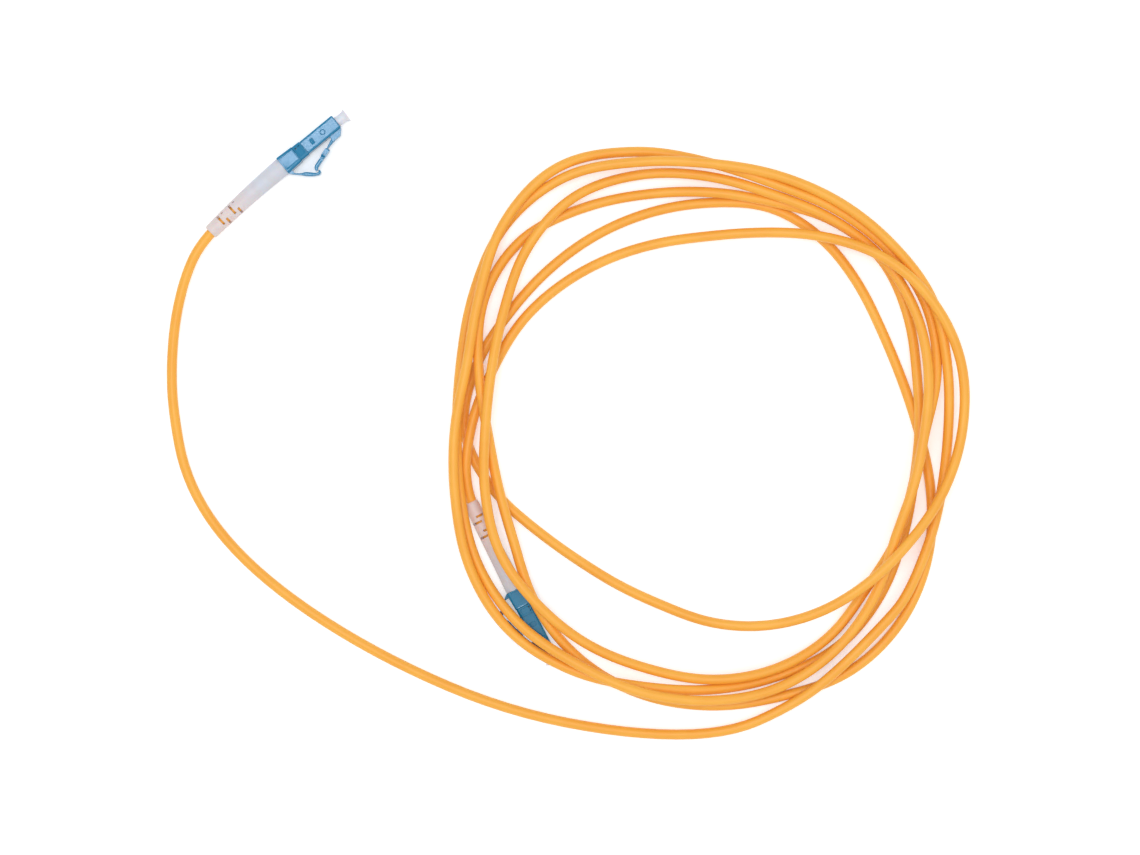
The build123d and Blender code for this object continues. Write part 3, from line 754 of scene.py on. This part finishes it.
def facing(*direction):
    """A test for faces that face along a direction."""
    along_it = Vector(direction)
    return lambda face: face.normal.dot(along_it) > 0.9


def start_recess(side, length, across, face, depth, end_slopes, side_slopes):
    """A tool that sinks a face that stands so far above or below the axis, with sloped edges.
    Length and across say from where to where; the slopes are those at their two ends."""
    proud = 0.05
    (back, front), (inner, outer) = length, across
    tool = start_block("recess", back, front, outer - inner, depth + proud, out=(inner + outer) / 2)
    pick(tool, "FACE", facing(0, 0, -side))
    shrink = (1 - sum(end_slopes) / (front - back), 1 - sum(side_slopes) / (outer - inner), 1)
    bpy.ops.transform.resize(value=shrink, center_override=((back + front) / 2, -(inner + outer) / 2, 0))
    shift = ((end_slopes[0] - end_slopes[1]) / 2, (side_slopes[1] - side_slopes[0]) / 2, 0)
    bpy.ops.transform.translate(value=shift)
    done()
    tool.data.transform(Matrix.Translation((0, 0, side * (face - (depth - proud) / 2))))
    return tool


def apply_modifier(piece, kind, **settings):
    bpy.context.view_layer.objects.active = piece
    bpy.ops.object.modifier_add(type=kind)
    modifier = piece.modifiers[-1]
    for name, value in settings.items():
        setattr(modifier, name, value)
    bpy.ops.object.modifier_apply(modifier=modifier.name)


def join_on(piece, tool):
    apply_modifier(piece, "BOOLEAN", object=tool, operation="UNION", solver="EXACT")
    bpy.data.objects.remove(tool)


def cut_away(piece, tool):
    apply_modifier(piece, "BOOLEAN", object=tool, operation="DIFFERENCE", solver="EXACT")
    bpy.data.objects.remove(tool)


def soften(piece, width, segments=2, angle=35.0):
    """Rounds the sharp edges of a moulded piece."""
    apply_modifier(piece, "BEVEL", width=width, segments=segments, limit_method="ANGLE",
                   angle_limit=math.radians(angle))


def smooth_stations(stations, steps=4):
    """More stations on a smooth curve through the given ones."""
    smooth = []
    for index in range(len(stations) - 1):
        near = [Vector(stations[min(max(index + step, 0), len(stations) - 1)]) for step in (-1, 0, 1, 2)]
        smooth += [smooth_between(*near, step / steps) for step in range(steps)]
    return smooth + [Vector(stations[-1])]


def draw_strip(name, stations, width):
    """A lever drawn as by hand: a flat end is extruded through (x, distance out, thickness)
    stations and turned at each one to stay square to the way on."""
    stations = smooth_stations(stations)
    places = [Vector((x, -out, 0)) for x, out, _ in stations]
    ways = [(after - before).xy for before, after in zip(places, places[1:])]
    turns = [math.atan2(way.y, way.x) for way in ways]
    facings = [turns[0]] + [(a + b) / 2 for a, b in zip(turns, turns[1:])] + [turns[-1]]
    strip = start_piece(name, bpy.ops.mesh.primitive_plane_add, size=1)
    strip.data.transform(Matrix.Translation(places[0]) @ Matrix.Rotation(facings[0], 4, "Z")
                         @ Matrix.Rotation(math.pi / 2, 4, "Y")
                         @ Matrix.Diagonal((width, stations[0][2], 1, 1)))
    pick(strip, "FACE", lambda face: True)
    for index in range(1, len(stations)):
        here, there = places[index - 1], places[index]
        bpy.ops.mesh.extrude_region_move(TRANSFORM_OT_translate={"value": there - here})
        bpy.ops.transform.rotate(value=-(facings[index] - facings[index - 1]), orient_axis="Z",
                                 center_override=there)
        grow = stations[index][2] / stations[index - 1][2]
        bpy.ops.transform.resize(value=(grow, grow, 1), center_override=there)
    face_outwards()
    return strip


def turn_profile(name, stations, sides=64):
    """A round piece drawn as by hand: a disc is extruded and resized through (x, radius)."""
    x, radius = stations[0]
    piece = start_piece(name, bpy.ops.mesh.primitive_circle_add, vertices=sides, radius=radius,
                        fill_type="NGON", location=(x, 0, 0), rotation=(0, math.pi / 2, 0))
    pick(piece, "FACE", lambda face: True)
    for (before, wide), (x, radius) in zip(stations, stations[1:]):
        bpy.ops.mesh.extrude_region_move(TRANSFORM_OT_translate={"value": (x - before, 0, 0)})
        grow = radius / wide
        bpy.ops.transform.resize(value=(1, grow, grow), center_override=(x, 0, 0))
    face_outwards()
    return piece


def start_copy(piece):
    """A copy of a piece with a mesh of its own."""
    copy = piece.copy()
    copy.data = piece.data.copy()
    bpy.context.scene.collection.objects.link(copy)
    return copy


def place_piece(piece, name, plug_name, body, replaced, material, turn=0.0):
    """Puts a copy of a plug's piece in its place, as a finished piece with a mesh of its own."""
    plug = PLUGS[plug_name]
    copy = start_copy(piece)
    copy.name = f"{name}_{plug_name}"
    own_place = copy.data.attributes.new(PLUG_PLACE, "FLOAT_VECTOR", "POINT")
    own_place.data.foreach_set("vector", [part for vertex in copy.data.vertices for part in vertex.co])
    at = Matrix.Translation((*plug["at"], AXIS_HEIGHT))
    heading = Matrix.Rotation(math.radians(plug["heading"]), 4, "Z")
    rolled = Matrix.Rotation(math.radians(turn), 4, "X")
    copy.data.transform(Matrix.Scale(MM, 4) @ at @ heading @ rolled)
    copy.data.materials.clear()
    copy.data.materials.append(material)
    clear_selection()
    copy.select_set(True)
    bpy.context.view_layer.objects.active = copy
    bpy.ops.object.shade_smooth_by_angle(angle=math.radians(SMOOTH_ANGLE))
    apply_modifier(copy, "WEIGHTED_NORMAL", keep_sharp=True)
    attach(copy, body)
    if replaced:
        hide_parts(f"{replaced}_{plug_name}")
    return copy


def place_on_both(piece, name, body, replaced, material):
    """Puts a piece on each plug, riding on that plug's own body or on the cord's."""
    for plug_name in PLUGS:
        rider = f"{body}_{plug_name}" if body else "cord_and_plugs"
        place_piece(piece, name, plug_name, rider, replaced, material)
    bpy.data.objects.remove(piece)


def round_long_edges(piece, width, segments):
    """Rounds a block's four edges along x."""
    bevel_edges(piece, lambda edge: abs((edge.verts[0].co - edge.verts[1].co).normalized().x) > 0.95,
                width, segments)


def cut_mouth(piece, mouth, width, hinge, turn, out):
    """Opens the plastic beside a lever's hinge, so that the lever can swing."""
    tool = start_block("mouth", *mouth, width + SIDE_PLAY)
    tool.data.transform(Matrix.Translation((hinge[0], -hinge[1], 0))
                        @ Matrix.Rotation(math.radians(turn), 4, "Z")
                        @ Matrix.Translation((0, -out, 0)))
    cut_away(piece, tool)


class PATCHCORD_OT_rear_shells(bpy.types.Operator):
    """Moulds the rear shell of each plug, with its framed panels, its collar and the trigger's seat"""
    bl_idname = "patchcord.rear_shells"
    bl_label = "Rear shells"

    def execute(self, context):
        size = context.scene.patch_cord_plug
        width, length, front = size.shell_width / MM, size.shell_length / MM, size.collar_end / MM
        nose = size.shell_nose_width / MM
        shell = start_block("rear_shell", 0, length, width, width)
        pick(shell, "FACE", facing(1, 0, 0))
        taper = width + (nose - width) * length / front
        bpy.ops.transform.resize(value=(1, taper / width, 1), center_override=(0, 0, 0))
        bpy.ops.mesh.extrude_region_move(TRANSFORM_OT_translate={"value": (COLLAR_STEP, 0, 0)})
        step = (width - 2 * COLLAR_STEP) / width
        bpy.ops.transform.resize(value=(1, step, step), center_override=(0, 0, 0))
        bpy.ops.mesh.extrude_region_move(
            TRANSFORM_OT_translate={"value": (front - length - COLLAR_STEP, 0, 0)})
        bpy.ops.transform.resize(value=(1, nose / (taper * step), nose / (width * step)),
                                 center_override=(0, 0, 0))
        done()
        round_long_edges(shell, SHELL_ROUND, 3)
        for side in (1, -1):
            recess = start_recess(side, (PANEL_BACK, length - PANEL_FRONT), PANEL_ACROSS, width / 2,
                                  size.panel_depth / MM, PANEL_END_SLOPES, PANEL_SIDE_SLOPES)
            cut_away(shell, recess)
            self.sink(shell, side, lambda x: x > length, COLLAR_RIM, PANEL_SLOPE, COLLAR_DEPTH)
        soften(shell, 0.05, angle=40)
        seat = start_block("seat", *SEAT, out=width / 2 + SEAT_OUT)
        bevel_edges(seat, lambda edge: all(v.co.y < -width / 2 - 0.9 and v.co.x < 0.1 for v in edge.verts),
                    SEAT_CHAMFER)
        soften(seat, 0.05, segments=1)
        join_on(shell, seat)
        cut_away(shell, start_pin("trigger_room", TRIGGER_HINGE, TRIGGER_ROOM_D, TRIGGER_WIDTH + SIDE_PLAY))
        cut_mouth(shell, TRIGGER_MOUTH, TRIGGER_WIDTH, TRIGGER_HINGE, TRIGGER_MOUTH_TURN, TRIGGER_MOUTH_OUT)
        cut_away(shell, start_block("cavity", SHELL_WALL, length + 1, CAVITY_SIZE, CAVITY_SIZE))
        cut_away(shell, start_block("neck_room", length, front + 1, NECK_ROOM, NECK_ROOM))
        cut_away(shell, start_rod("post_hole", -1, SHELL_WALL + 0.2, POST_HOLE_D))
        for x, long, wide, out in SNAP_HOLES:
            cut_away(shell, start_block("snap_hole", x, x + long, wide, 7, out=out))
        place_on_both(shell, "shell", None, "rear_shell", moulded_polycarbonate(size))
        return {"FINISHED"}

    def sink(self, shell, side, where, border, slope, depth):
        pick(shell, "FACE", lambda face: face.normal.z * side > 0.98 and face.calc_area() > 2
             and where(face.calc_center_median().x))
        bpy.ops.mesh.inset(thickness=border)
        bpy.ops.mesh.inset(thickness=slope, depth=-depth)
        done()


class PATCHCORD_OT_housings(bpy.types.Operator):
    """Moulds the square front housing of each plug, with its neck, windows, nose and bores"""
    bl_idname = "patchcord.housings"
    bl_label = "Front housings"

    def execute(self, context):
        size = context.scene.patch_cord_plug
        tip, width, step = size.housing_tip / MM, size.housing_width / MM, size.collar_end / MM + 0.05
        housing = start_block("housing", step, tip, width, width)
        round_long_edges(housing, HOUSING_ROUND, 3)
        for side in (1, -1):
            pick(housing, "FACE", lambda face: face.normal.z * side > 0.98 and face.calc_area() > 4)
            bpy.ops.mesh.inset(thickness=0.1)
            bpy.ops.mesh.inset(thickness=0.14, depth=-0.06)
            done()
        bevel_edges(housing, lambda edge: all(v.co.x > tip - 0.01 for v in edge.verts),
                    HOUSING_FRONT_ROUND, 3)
        soften(housing, 0.04, angle=40)
        join_on(housing, start_block("neck", STUB_START, step + 0.4, STUB_SIZE, STUB_SIZE))
        nose_out = width / 2 + NOSE_OUT
        nose = start_block("nose", LATCH_HINGE[0] - NOSE_BACK, tip - NOSE_FRONT, NOSE_THICK,
                           LATCH_WIDTH + 0.5, out=nose_out - NOSE_THICK / 2)
        bevel_edges(nose, lambda edge: all(v.co.x > tip - 1 and v.co.y < 0.1 - nose_out for v in edge.verts),
                    NOSE_CHAMFER)
        soften(nose, 0.1)
        join_on(housing, nose)
        cut_away(housing, start_pin("latch_room", LATCH_HINGE, LATCH_ROOM_D, LATCH_WIDTH + SIDE_PLAY))
        cut_mouth(housing, LATCH_MOUTH, LATCH_WIDTH, LATCH_HINGE, LATCH_MOUTH_TURN, LATCH_MOUTH_OUT)
        front = tip - CAP_BORE_DEPTH
        cut_away(housing, start_rod("spring_bore", 0, front - 1, SPRING_BORE_D))
        cut_away(housing, start_rod("ferrule_hole", front - 2, front + 1, FERRULE_HOLE_D))
        cut_away(housing, start_rod("cap_bore", front, tip + 1, CAP_BORE_D))
        for x, long, wide, out in SNAP_HOLES:
            for side in (1, -1):
                hole = start_block("snap_seat", x - 0.05, x + long + 0.05, wide + 0.1, 1, out=out)
                hole.data.transform(Matrix.Translation((0, 0, side * 1.6)))
                cut_away(housing, hole)
        for side in (1, -1):
            self.mould_window(housing, tip - WINDOW_TO_TIP, side)
            self.mould_ring(housing, (tip - MARK_TO_TIP, -0.12), side * width / 2)
        place_on_both(housing, "housing", None, "plug_housing", moulded_polycarbonate(size))
        return {"FINISHED"}

    def mould_window(self, housing, x, side):
        """A sunk window with the end of the inner body's blue tab in it"""
        window = start_block("window", -WINDOW_HALF, WINDOW_HALF, WINDOW_WIDTH, 1)
        soften(window, 0.12)
        window.data.transform(Matrix.Translation((x + WINDOW_HALF, 0, side * WINDOW_MIDDLE))
                              @ Matrix.Rotation(side * math.radians(WINDOW_TILT), 4, "Y"))
        cut_away(housing, window)
        back, front, across, thick = TAB
        tab = start_block("tab", x + back, x + front, across, thick)
        pick(tab, "FACE", facing(0, 0, side))
        bpy.ops.transform.resize(value=(0.8, 0.8, 1), center_override=(x + back, 0, 0))
        done()
        tab.data.transform(Matrix.Translation((0, -0.1, side * TAB_MIDDLE)))
        join_on(housing, tab)

    def mould_ring(self, housing, place, face):
        """A round mark sunk in the housing's side"""
        ring = start_pin("ring", place, RING_D, 0.4)
        cut_away(ring, start_pin("ring_middle", place, RING_MIDDLE_D, 1))
        soften(ring, 0.12)
        ring.data.transform(Matrix.Translation((0, 0, face)))
        cut_away(housing, ring)


class PATCHCORD_OT_latches(bpy.types.Operator):
    """Draws the latch lever of each plug, from its thin neck to its hooked end"""
    bl_idname = "patchcord.latches"
    bl_label = "Latch levers"

    def execute(self, context):
        size = context.scene.patch_cord_plug
        latch = draw_strip("latch", LATCH_ARM, LATCH_WIDTH)
        soften(latch, 0.08, angle=50)
        neck = draw_strip("neck", LATCH_NECK, LATCH_WIDTH - SIDE_PLAY)
        soften(neck, 0.06, angle=50)
        join_on(latch, neck)
        join_on(latch, start_pin("hinge", LATCH_HINGE, LATCH_BARREL_D, LATCH_WIDTH - 2 * SIDE_PLAY))
        half = LATCH_CATCH_LENGTH / 2
        catch = start_block("catch", -half, half, LATCH_CATCH_THICK, LATCH_CATCH_WIDTH)
        bevel_edges(catch, lambda edge: all(v.co.x < -1 for v in edge.verts)
                    and abs((edge.verts[0].co - edge.verts[1].co).y) > 1, LATCH_RAMP)
        soften(catch, 0.06)
        self.lay(catch, LATCH_CATCH, 0)
        join_on(latch, catch)
        for side in (1, -1):
            pocket = start_block("pocket", -0.6, 0.6, 0.62, 0.8)
            self.lay(pocket, LATCH_POCKET, side * LATCH_CATCH_WIDTH / 2)
            cut_away(latch, pocket)
            lip = start_block("lip", -0.25, 0.62, 0.64, 0.3)
            self.lay(lip, LATCH_POCKET, side * (LATCH_CATCH_WIDTH / 2 - 0.3))
            join_on(latch, lip)
        place_on_both(latch, "latch", "latch", "latch_lever", moulded_polycarbonate(size))
        return {"FINISHED"}

    def lay(self, part, place, height):
        """Turns a part of the catch along the arm and puts it at (x, distance out)."""
        part.data.transform(Matrix.Translation((place[0], -place[1], height))
                            @ Matrix.Rotation(math.radians(LATCH_SLOPE), 4, "Z"))


class PATCHCORD_OT_triggers(bpy.types.Operator):
    """Draws the trigger lever of each plug, thin at its root and curled round the latch's end"""
    bl_idname = "patchcord.triggers"
    bl_label = "Trigger levers"

    def execute(self, context):
        size = context.scene.patch_cord_plug
        trigger = draw_strip("trigger", TRIGGER_WEB, TRIGGER_WIDTH)
        soften(trigger, 0.08, angle=50)
        join_on(trigger, start_pin("hinge", TRIGGER_HINGE, TRIGGER_BARREL_D, TRIGGER_WIDTH - SIDE_PLAY))
        place_on_both(trigger, "trigger", "trigger", "trigger_lever",
                      moulded_polycarbonate(size))
        return {"FINISHED"}


class PATCHCORD_OT_boots(bpy.types.Operator):
    """Moulds the tapered boot of each plug, cuts its bend slots and leans it with its cable"""
    bl_idname = "patchcord.boots"
    bl_label = "Boots"

    def execute(self, context):
        size = context.scene.patch_cord_boot
        material = moulded_elastomer(size)
        length, front, rear = size.length / MM, size.front_diameter / 2 / MM, size.rear_diameter / 2 / MM
        stations = [(-length, rear - 0.25), (-length + 0.08, rear - 0.09), (-length + 0.25, rear)]
        for ring in range(1, BOOT_RINGS):
            x = -length + length * ring / BOOT_RINGS
            stations.append((x, rear + (front - rear) * ring / BOOT_RINGS))
        stations += [(-0.1, front), (0, front - 0.1)]
        for plug_name, plug in PLUGS.items():
            boot = turn_profile("boot", stations)
            cut_away(boot, start_rod("bore", -length - 1, 1, BOOT_BORE_D))
            cut_away(boot, start_rod("sleeve_bore", SLEEVE_BORE_START, 1, SLEEVE_BORE_D))
            for row in range(SLOT_ROWS):
                x = -length + SLOT_FIRST + row * SLOT_PITCH
                for pair in range(2):
                    for half in (0, 180):
                        turn = pair * SLOT_TURN + half + plug["boot_turn"]
                        self.cut_slot(boot, x + pair * SLOT_STEP, turn, SLOT_WIDTH, SLOT_FLOOR)
                self.cut_slot(boot, x + SLOT_STEP, plug["boot_turn"] - VENT_TURN, VENT_WIDTH, VENT_FLOOR)
            apply_modifier(boot, "SIMPLE_DEFORM", deform_method="BEND", deform_axis="Z",
                           angle=-math.radians(plug["boot_bend"]))
            place_piece(boot, "boot_sleeve", plug_name, "cord_and_plugs", "boot", material)
            bpy.data.objects.remove(boot)
        return {"FINISHED"}

    def cut_slot(self, boot, x, turn, width, floor):
        """Cuts a bend slot across the boot, down to so far from its axis."""
        slot = start_block("slot", 0, SLOT_LENGTH, width, SLOT_REACH)
        slot.data.transform(Matrix.Rotation(math.radians(turn), 4, "X")
                            @ Matrix.Translation((x, 0, floor + SLOT_REACH / 2)))
        cut_away(boot, slot)


class PATCHCORD_OT_dust_caps(bpy.types.Operator):
    """Turns the milky dust cap of each plug, with its flared rim"""
    bl_idname = "patchcord.dust_caps"
    bl_label = "Dust caps"

    def execute(self, context):
        size = context.scene.patch_cord_plug
        tip = size.housing_tip / MM + CAP_VISIBLE
        stations = [(tip - CAP_LENGTH, 1.5), (tip - CAP_LENGTH + 0.1, 1.6)]
        stations += [(tip - back, radius) for back, radius in CAP_RIM]
        cap = turn_profile("cap", stations)
        cut_away(cap, start_rod("cap_bore", tip - CAP_LENGTH - 1, tip - 1, FERRULE_ROOM_D))
        seat = tip - CAP_VISIBLE - CAP_BORE_DEPTH / 2
        material = moulded_polyethylene(size)
        for plug_name, plug in PLUGS.items():
            leaning = start_copy(cap)
            leaning.data.transform(Matrix.Translation((seat, 0, 0))
                                   @ Matrix.Rotation(-math.radians(plug["cap_lean"]), 4, "Z")
                                   @ Matrix.Translation((-seat, 0, 0)))
            place_piece(leaning, "cap", plug_name, f"cap_{plug_name}", "dust_cap", material)
            bpy.data.objects.remove(leaning)
        bpy.data.objects.remove(cap)
        return {"FINISHED"}


class PATCHCORD_OT_inner_pieces(bpy.types.Operator):
    """Finishes the ferrule, the spring, the crimp and the fibre inside each plug"""
    bl_idname = "patchcord.inner_pieces"
    bl_label = "Inner pieces"

    def execute(self, context):
        for piece in INNER_FINISHES:
            for plug_name in PLUGS:
                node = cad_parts[f"{piece}_{plug_name}"]
                material = inner_material(piece, plug_name)
                if not node.material_slots:
                    node.data.materials.append(material)
                for slot in node.material_slots:
                    slot.material = material
        for plug_name, plug in PLUGS.items():
            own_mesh(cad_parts[f"ferrule_spring_{plug_name}"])
        return {"FINISHED"}


class PATCHCORD_OT_stage(bpy.types.Operator):
    """Sets the pale floor, the soft lamps and the world"""
    bl_idname = "patchcord.stage"
    bl_label = "Stage"

    def execute(self, context):
        look = context.scene.patch_cord_stage
        clear_selection()
        bpy.ops.mesh.primitive_plane_add(size=FLOOR_SIZE)
        floor = context.object
        floor.name = "floor"
        floor.data.materials.append(matt_board())
        world = bpy.data.worlds.new("studio")
        context.scene.world = world
        world.use_nodes = True
        sky = world.node_tree.nodes["Background"]
        sky.inputs["Color"].default_value = (1, 1, 1, 1)
        sky.inputs["Strength"].default_value = look.sky
        self.hang_lamp("key", KEY_LAMP, look.key_size, look.key_power, "#DCEBFF")
        self.hang_lamp("fill", FILL_LAMP, look.fill_size, look.fill_power, "#FFFFFF")
        context.scene.view_settings.view_transform = "Standard"
        return {"FINISHED"}

    def hang_lamp(self, name, place, size, power, tint):
        bpy.ops.object.light_add(type="AREA", location=place)
        lamp = bpy.context.object
        lamp.name = name
        lamp.data.size = size
        lamp.data.energy = power
        lamp.data.color = linear(tint)
        aim = Vector((0.05, 0, 0)) - lamp.location
        lamp.rotation_euler = aim.to_track_quat("-Z", "Y").to_euler()


class PATCHCORD_PT_steps(bpy.types.Panel):
    """Lists the steps that make the cord, with their sizes and colours"""
    bl_idname = "PATCHCORD_PT_steps"
    bl_label = "Patch cord"
    bl_space_type = "VIEW_3D"
    bl_region_type = "UI"
    bl_category = "Patch cord"

    def draw(self, context):
        for step in STEPS:
            self.layout.operator(f"patchcord.{step}")
        for settings in SETTINGS:
            box = self.layout.box()
            group = getattr(context.scene, settings)
            for name in group.bl_rna.properties.keys():
                if name not in ("rna_type", "name"):
                    box.prop(group, name)


def length_of(name, description, millimetres):
    return bpy.props.FloatProperty(name=name, description=description, default=millimetres * MM,
                                   unit="LENGTH", precision=5)


def colour_of(name, description, hex_colour):
    return bpy.props.FloatVectorProperty(name=name, description=description, default=linear(hex_colour),
                                         subtype="COLOR", size=3)


class CableSettings(bpy.types.PropertyGroup):
    diameter: length_of("Diameter", "Outer diameter of the jacket", 3.0)
    length: length_of("Length", "Length of the cable with what runs inside the boots", 2970)
    colour: colour_of("Jacket colour", "Colour of the jacket", "#FBAE38")


class PlugSettings(bpy.types.PropertyGroup):
    shell_width: length_of("Shell width", "Width of the rear shell at its rear", 5.8)
    shell_nose_width: length_of("Shell nose width", "Width of the rear shell's collar at its front", 4.9)
    shell_length: length_of("Shell length", "From the rear shell's rear face to its collar", 5.3)
    collar_end: length_of("Collar end", "From the rear shell's rear face to its collar's front", 8.2)
    panel_depth: length_of("Panel depth", "How far the rear shell's panels are sunk", 0.2)
    housing_tip: length_of("Housing front", "From the rear shell's rear face to the housing's front", 20.7)
    housing_width: length_of("Housing width", "Side of the square housing", 4.5)
    colour: colour_of("Plug colour", "Colour of the moulded plug", "#047FAB")
    cap_colour: colour_of("Cap colour", "Colour of the dust cap", "#D9DAE4")


class BootSettings(bpy.types.PropertyGroup):
    length: length_of("Length", "Length of the boot", BOOT_LENGTH)
    front_diameter: length_of("Front diameter", "At the rear shell", BOOT_FRONT_D)
    rear_diameter: length_of("Rear diameter", "Where the cable comes out", BOOT_REAR_D)
    rear_colour: colour_of("Rear colour", "Colour of the boot where the cable fills it", "#E6D5D1")
    front_colour: colour_of("Front colour", "Colour of the boot at its crimp end", "#D3D6DF")


class StageSettings(bpy.types.PropertyGroup):
    eye_x: length_of("Eye x", "Camera's x", 56.1)
    eye_y: length_of("Eye y", "Camera's y", -12.0)
    eye_height: length_of("Eye height", "Camera's height over the floor", 950)
    view_width: length_of("View width", "How wide a strip of the floor the camera sees", 339.3)
    sky: bpy.props.FloatProperty(name="Sky", description="Strength of the white surroundings", default=0.74)
    key_size: length_of("Key size", "Side of the key lamp", 240)
    key_power: bpy.props.FloatProperty(name="Key power", description="Of the key lamp", default=2.3,
                                       unit="POWER")
    fill_size: length_of("Fill size", "Side of the fill lamp", 1200)
    fill_power: bpy.props.FloatProperty(name="Fill power", description="Of the fill lamp", default=5.0,
                                        unit="POWER")


SETTINGS = {
    "patch_cord_cable": CableSettings,
    "patch_cord_plug": PlugSettings,
    "patch_cord_boot": BootSettings,
    "patch_cord_stage": StageSettings,
}
OPERATORS = (
    PATCHCORD_OT_camera, PATCHCORD_OT_cable, PATCHCORD_OT_rear_shells, PATCHCORD_OT_housings,
    PATCHCORD_OT_latches, PATCHCORD_OT_triggers, PATCHCORD_OT_boots, PATCHCORD_OT_dust_caps,
    PATCHCORD_OT_inner_pieces, PATCHCORD_OT_stage,
)
STEPS = ("camera", "cable", "rear_shells", "housings", "latches", "triggers", "boots", "dust_caps",
         "inner_pieces", "stage")
CLASSES = (*SETTINGS.values(), *OPERATORS, PATCHCORD_PT_steps)


def register():
    for each in CLASSES:
        bpy.utils.register_class(each)
    for name, settings in SETTINGS.items():
        setattr(bpy.types.Scene, name, bpy.props.PointerProperty(type=settings))


def unregister():
    for name in SETTINGS:
        delattr(bpy.types.Scene, name)
    for each in reversed(CLASSES):
        bpy.utils.unregister_class(each)


def main():
    register()
    for step in STEPS:
        getattr(bpy.ops.patchcord, step)()


if __name__ == "__main__":
    main()
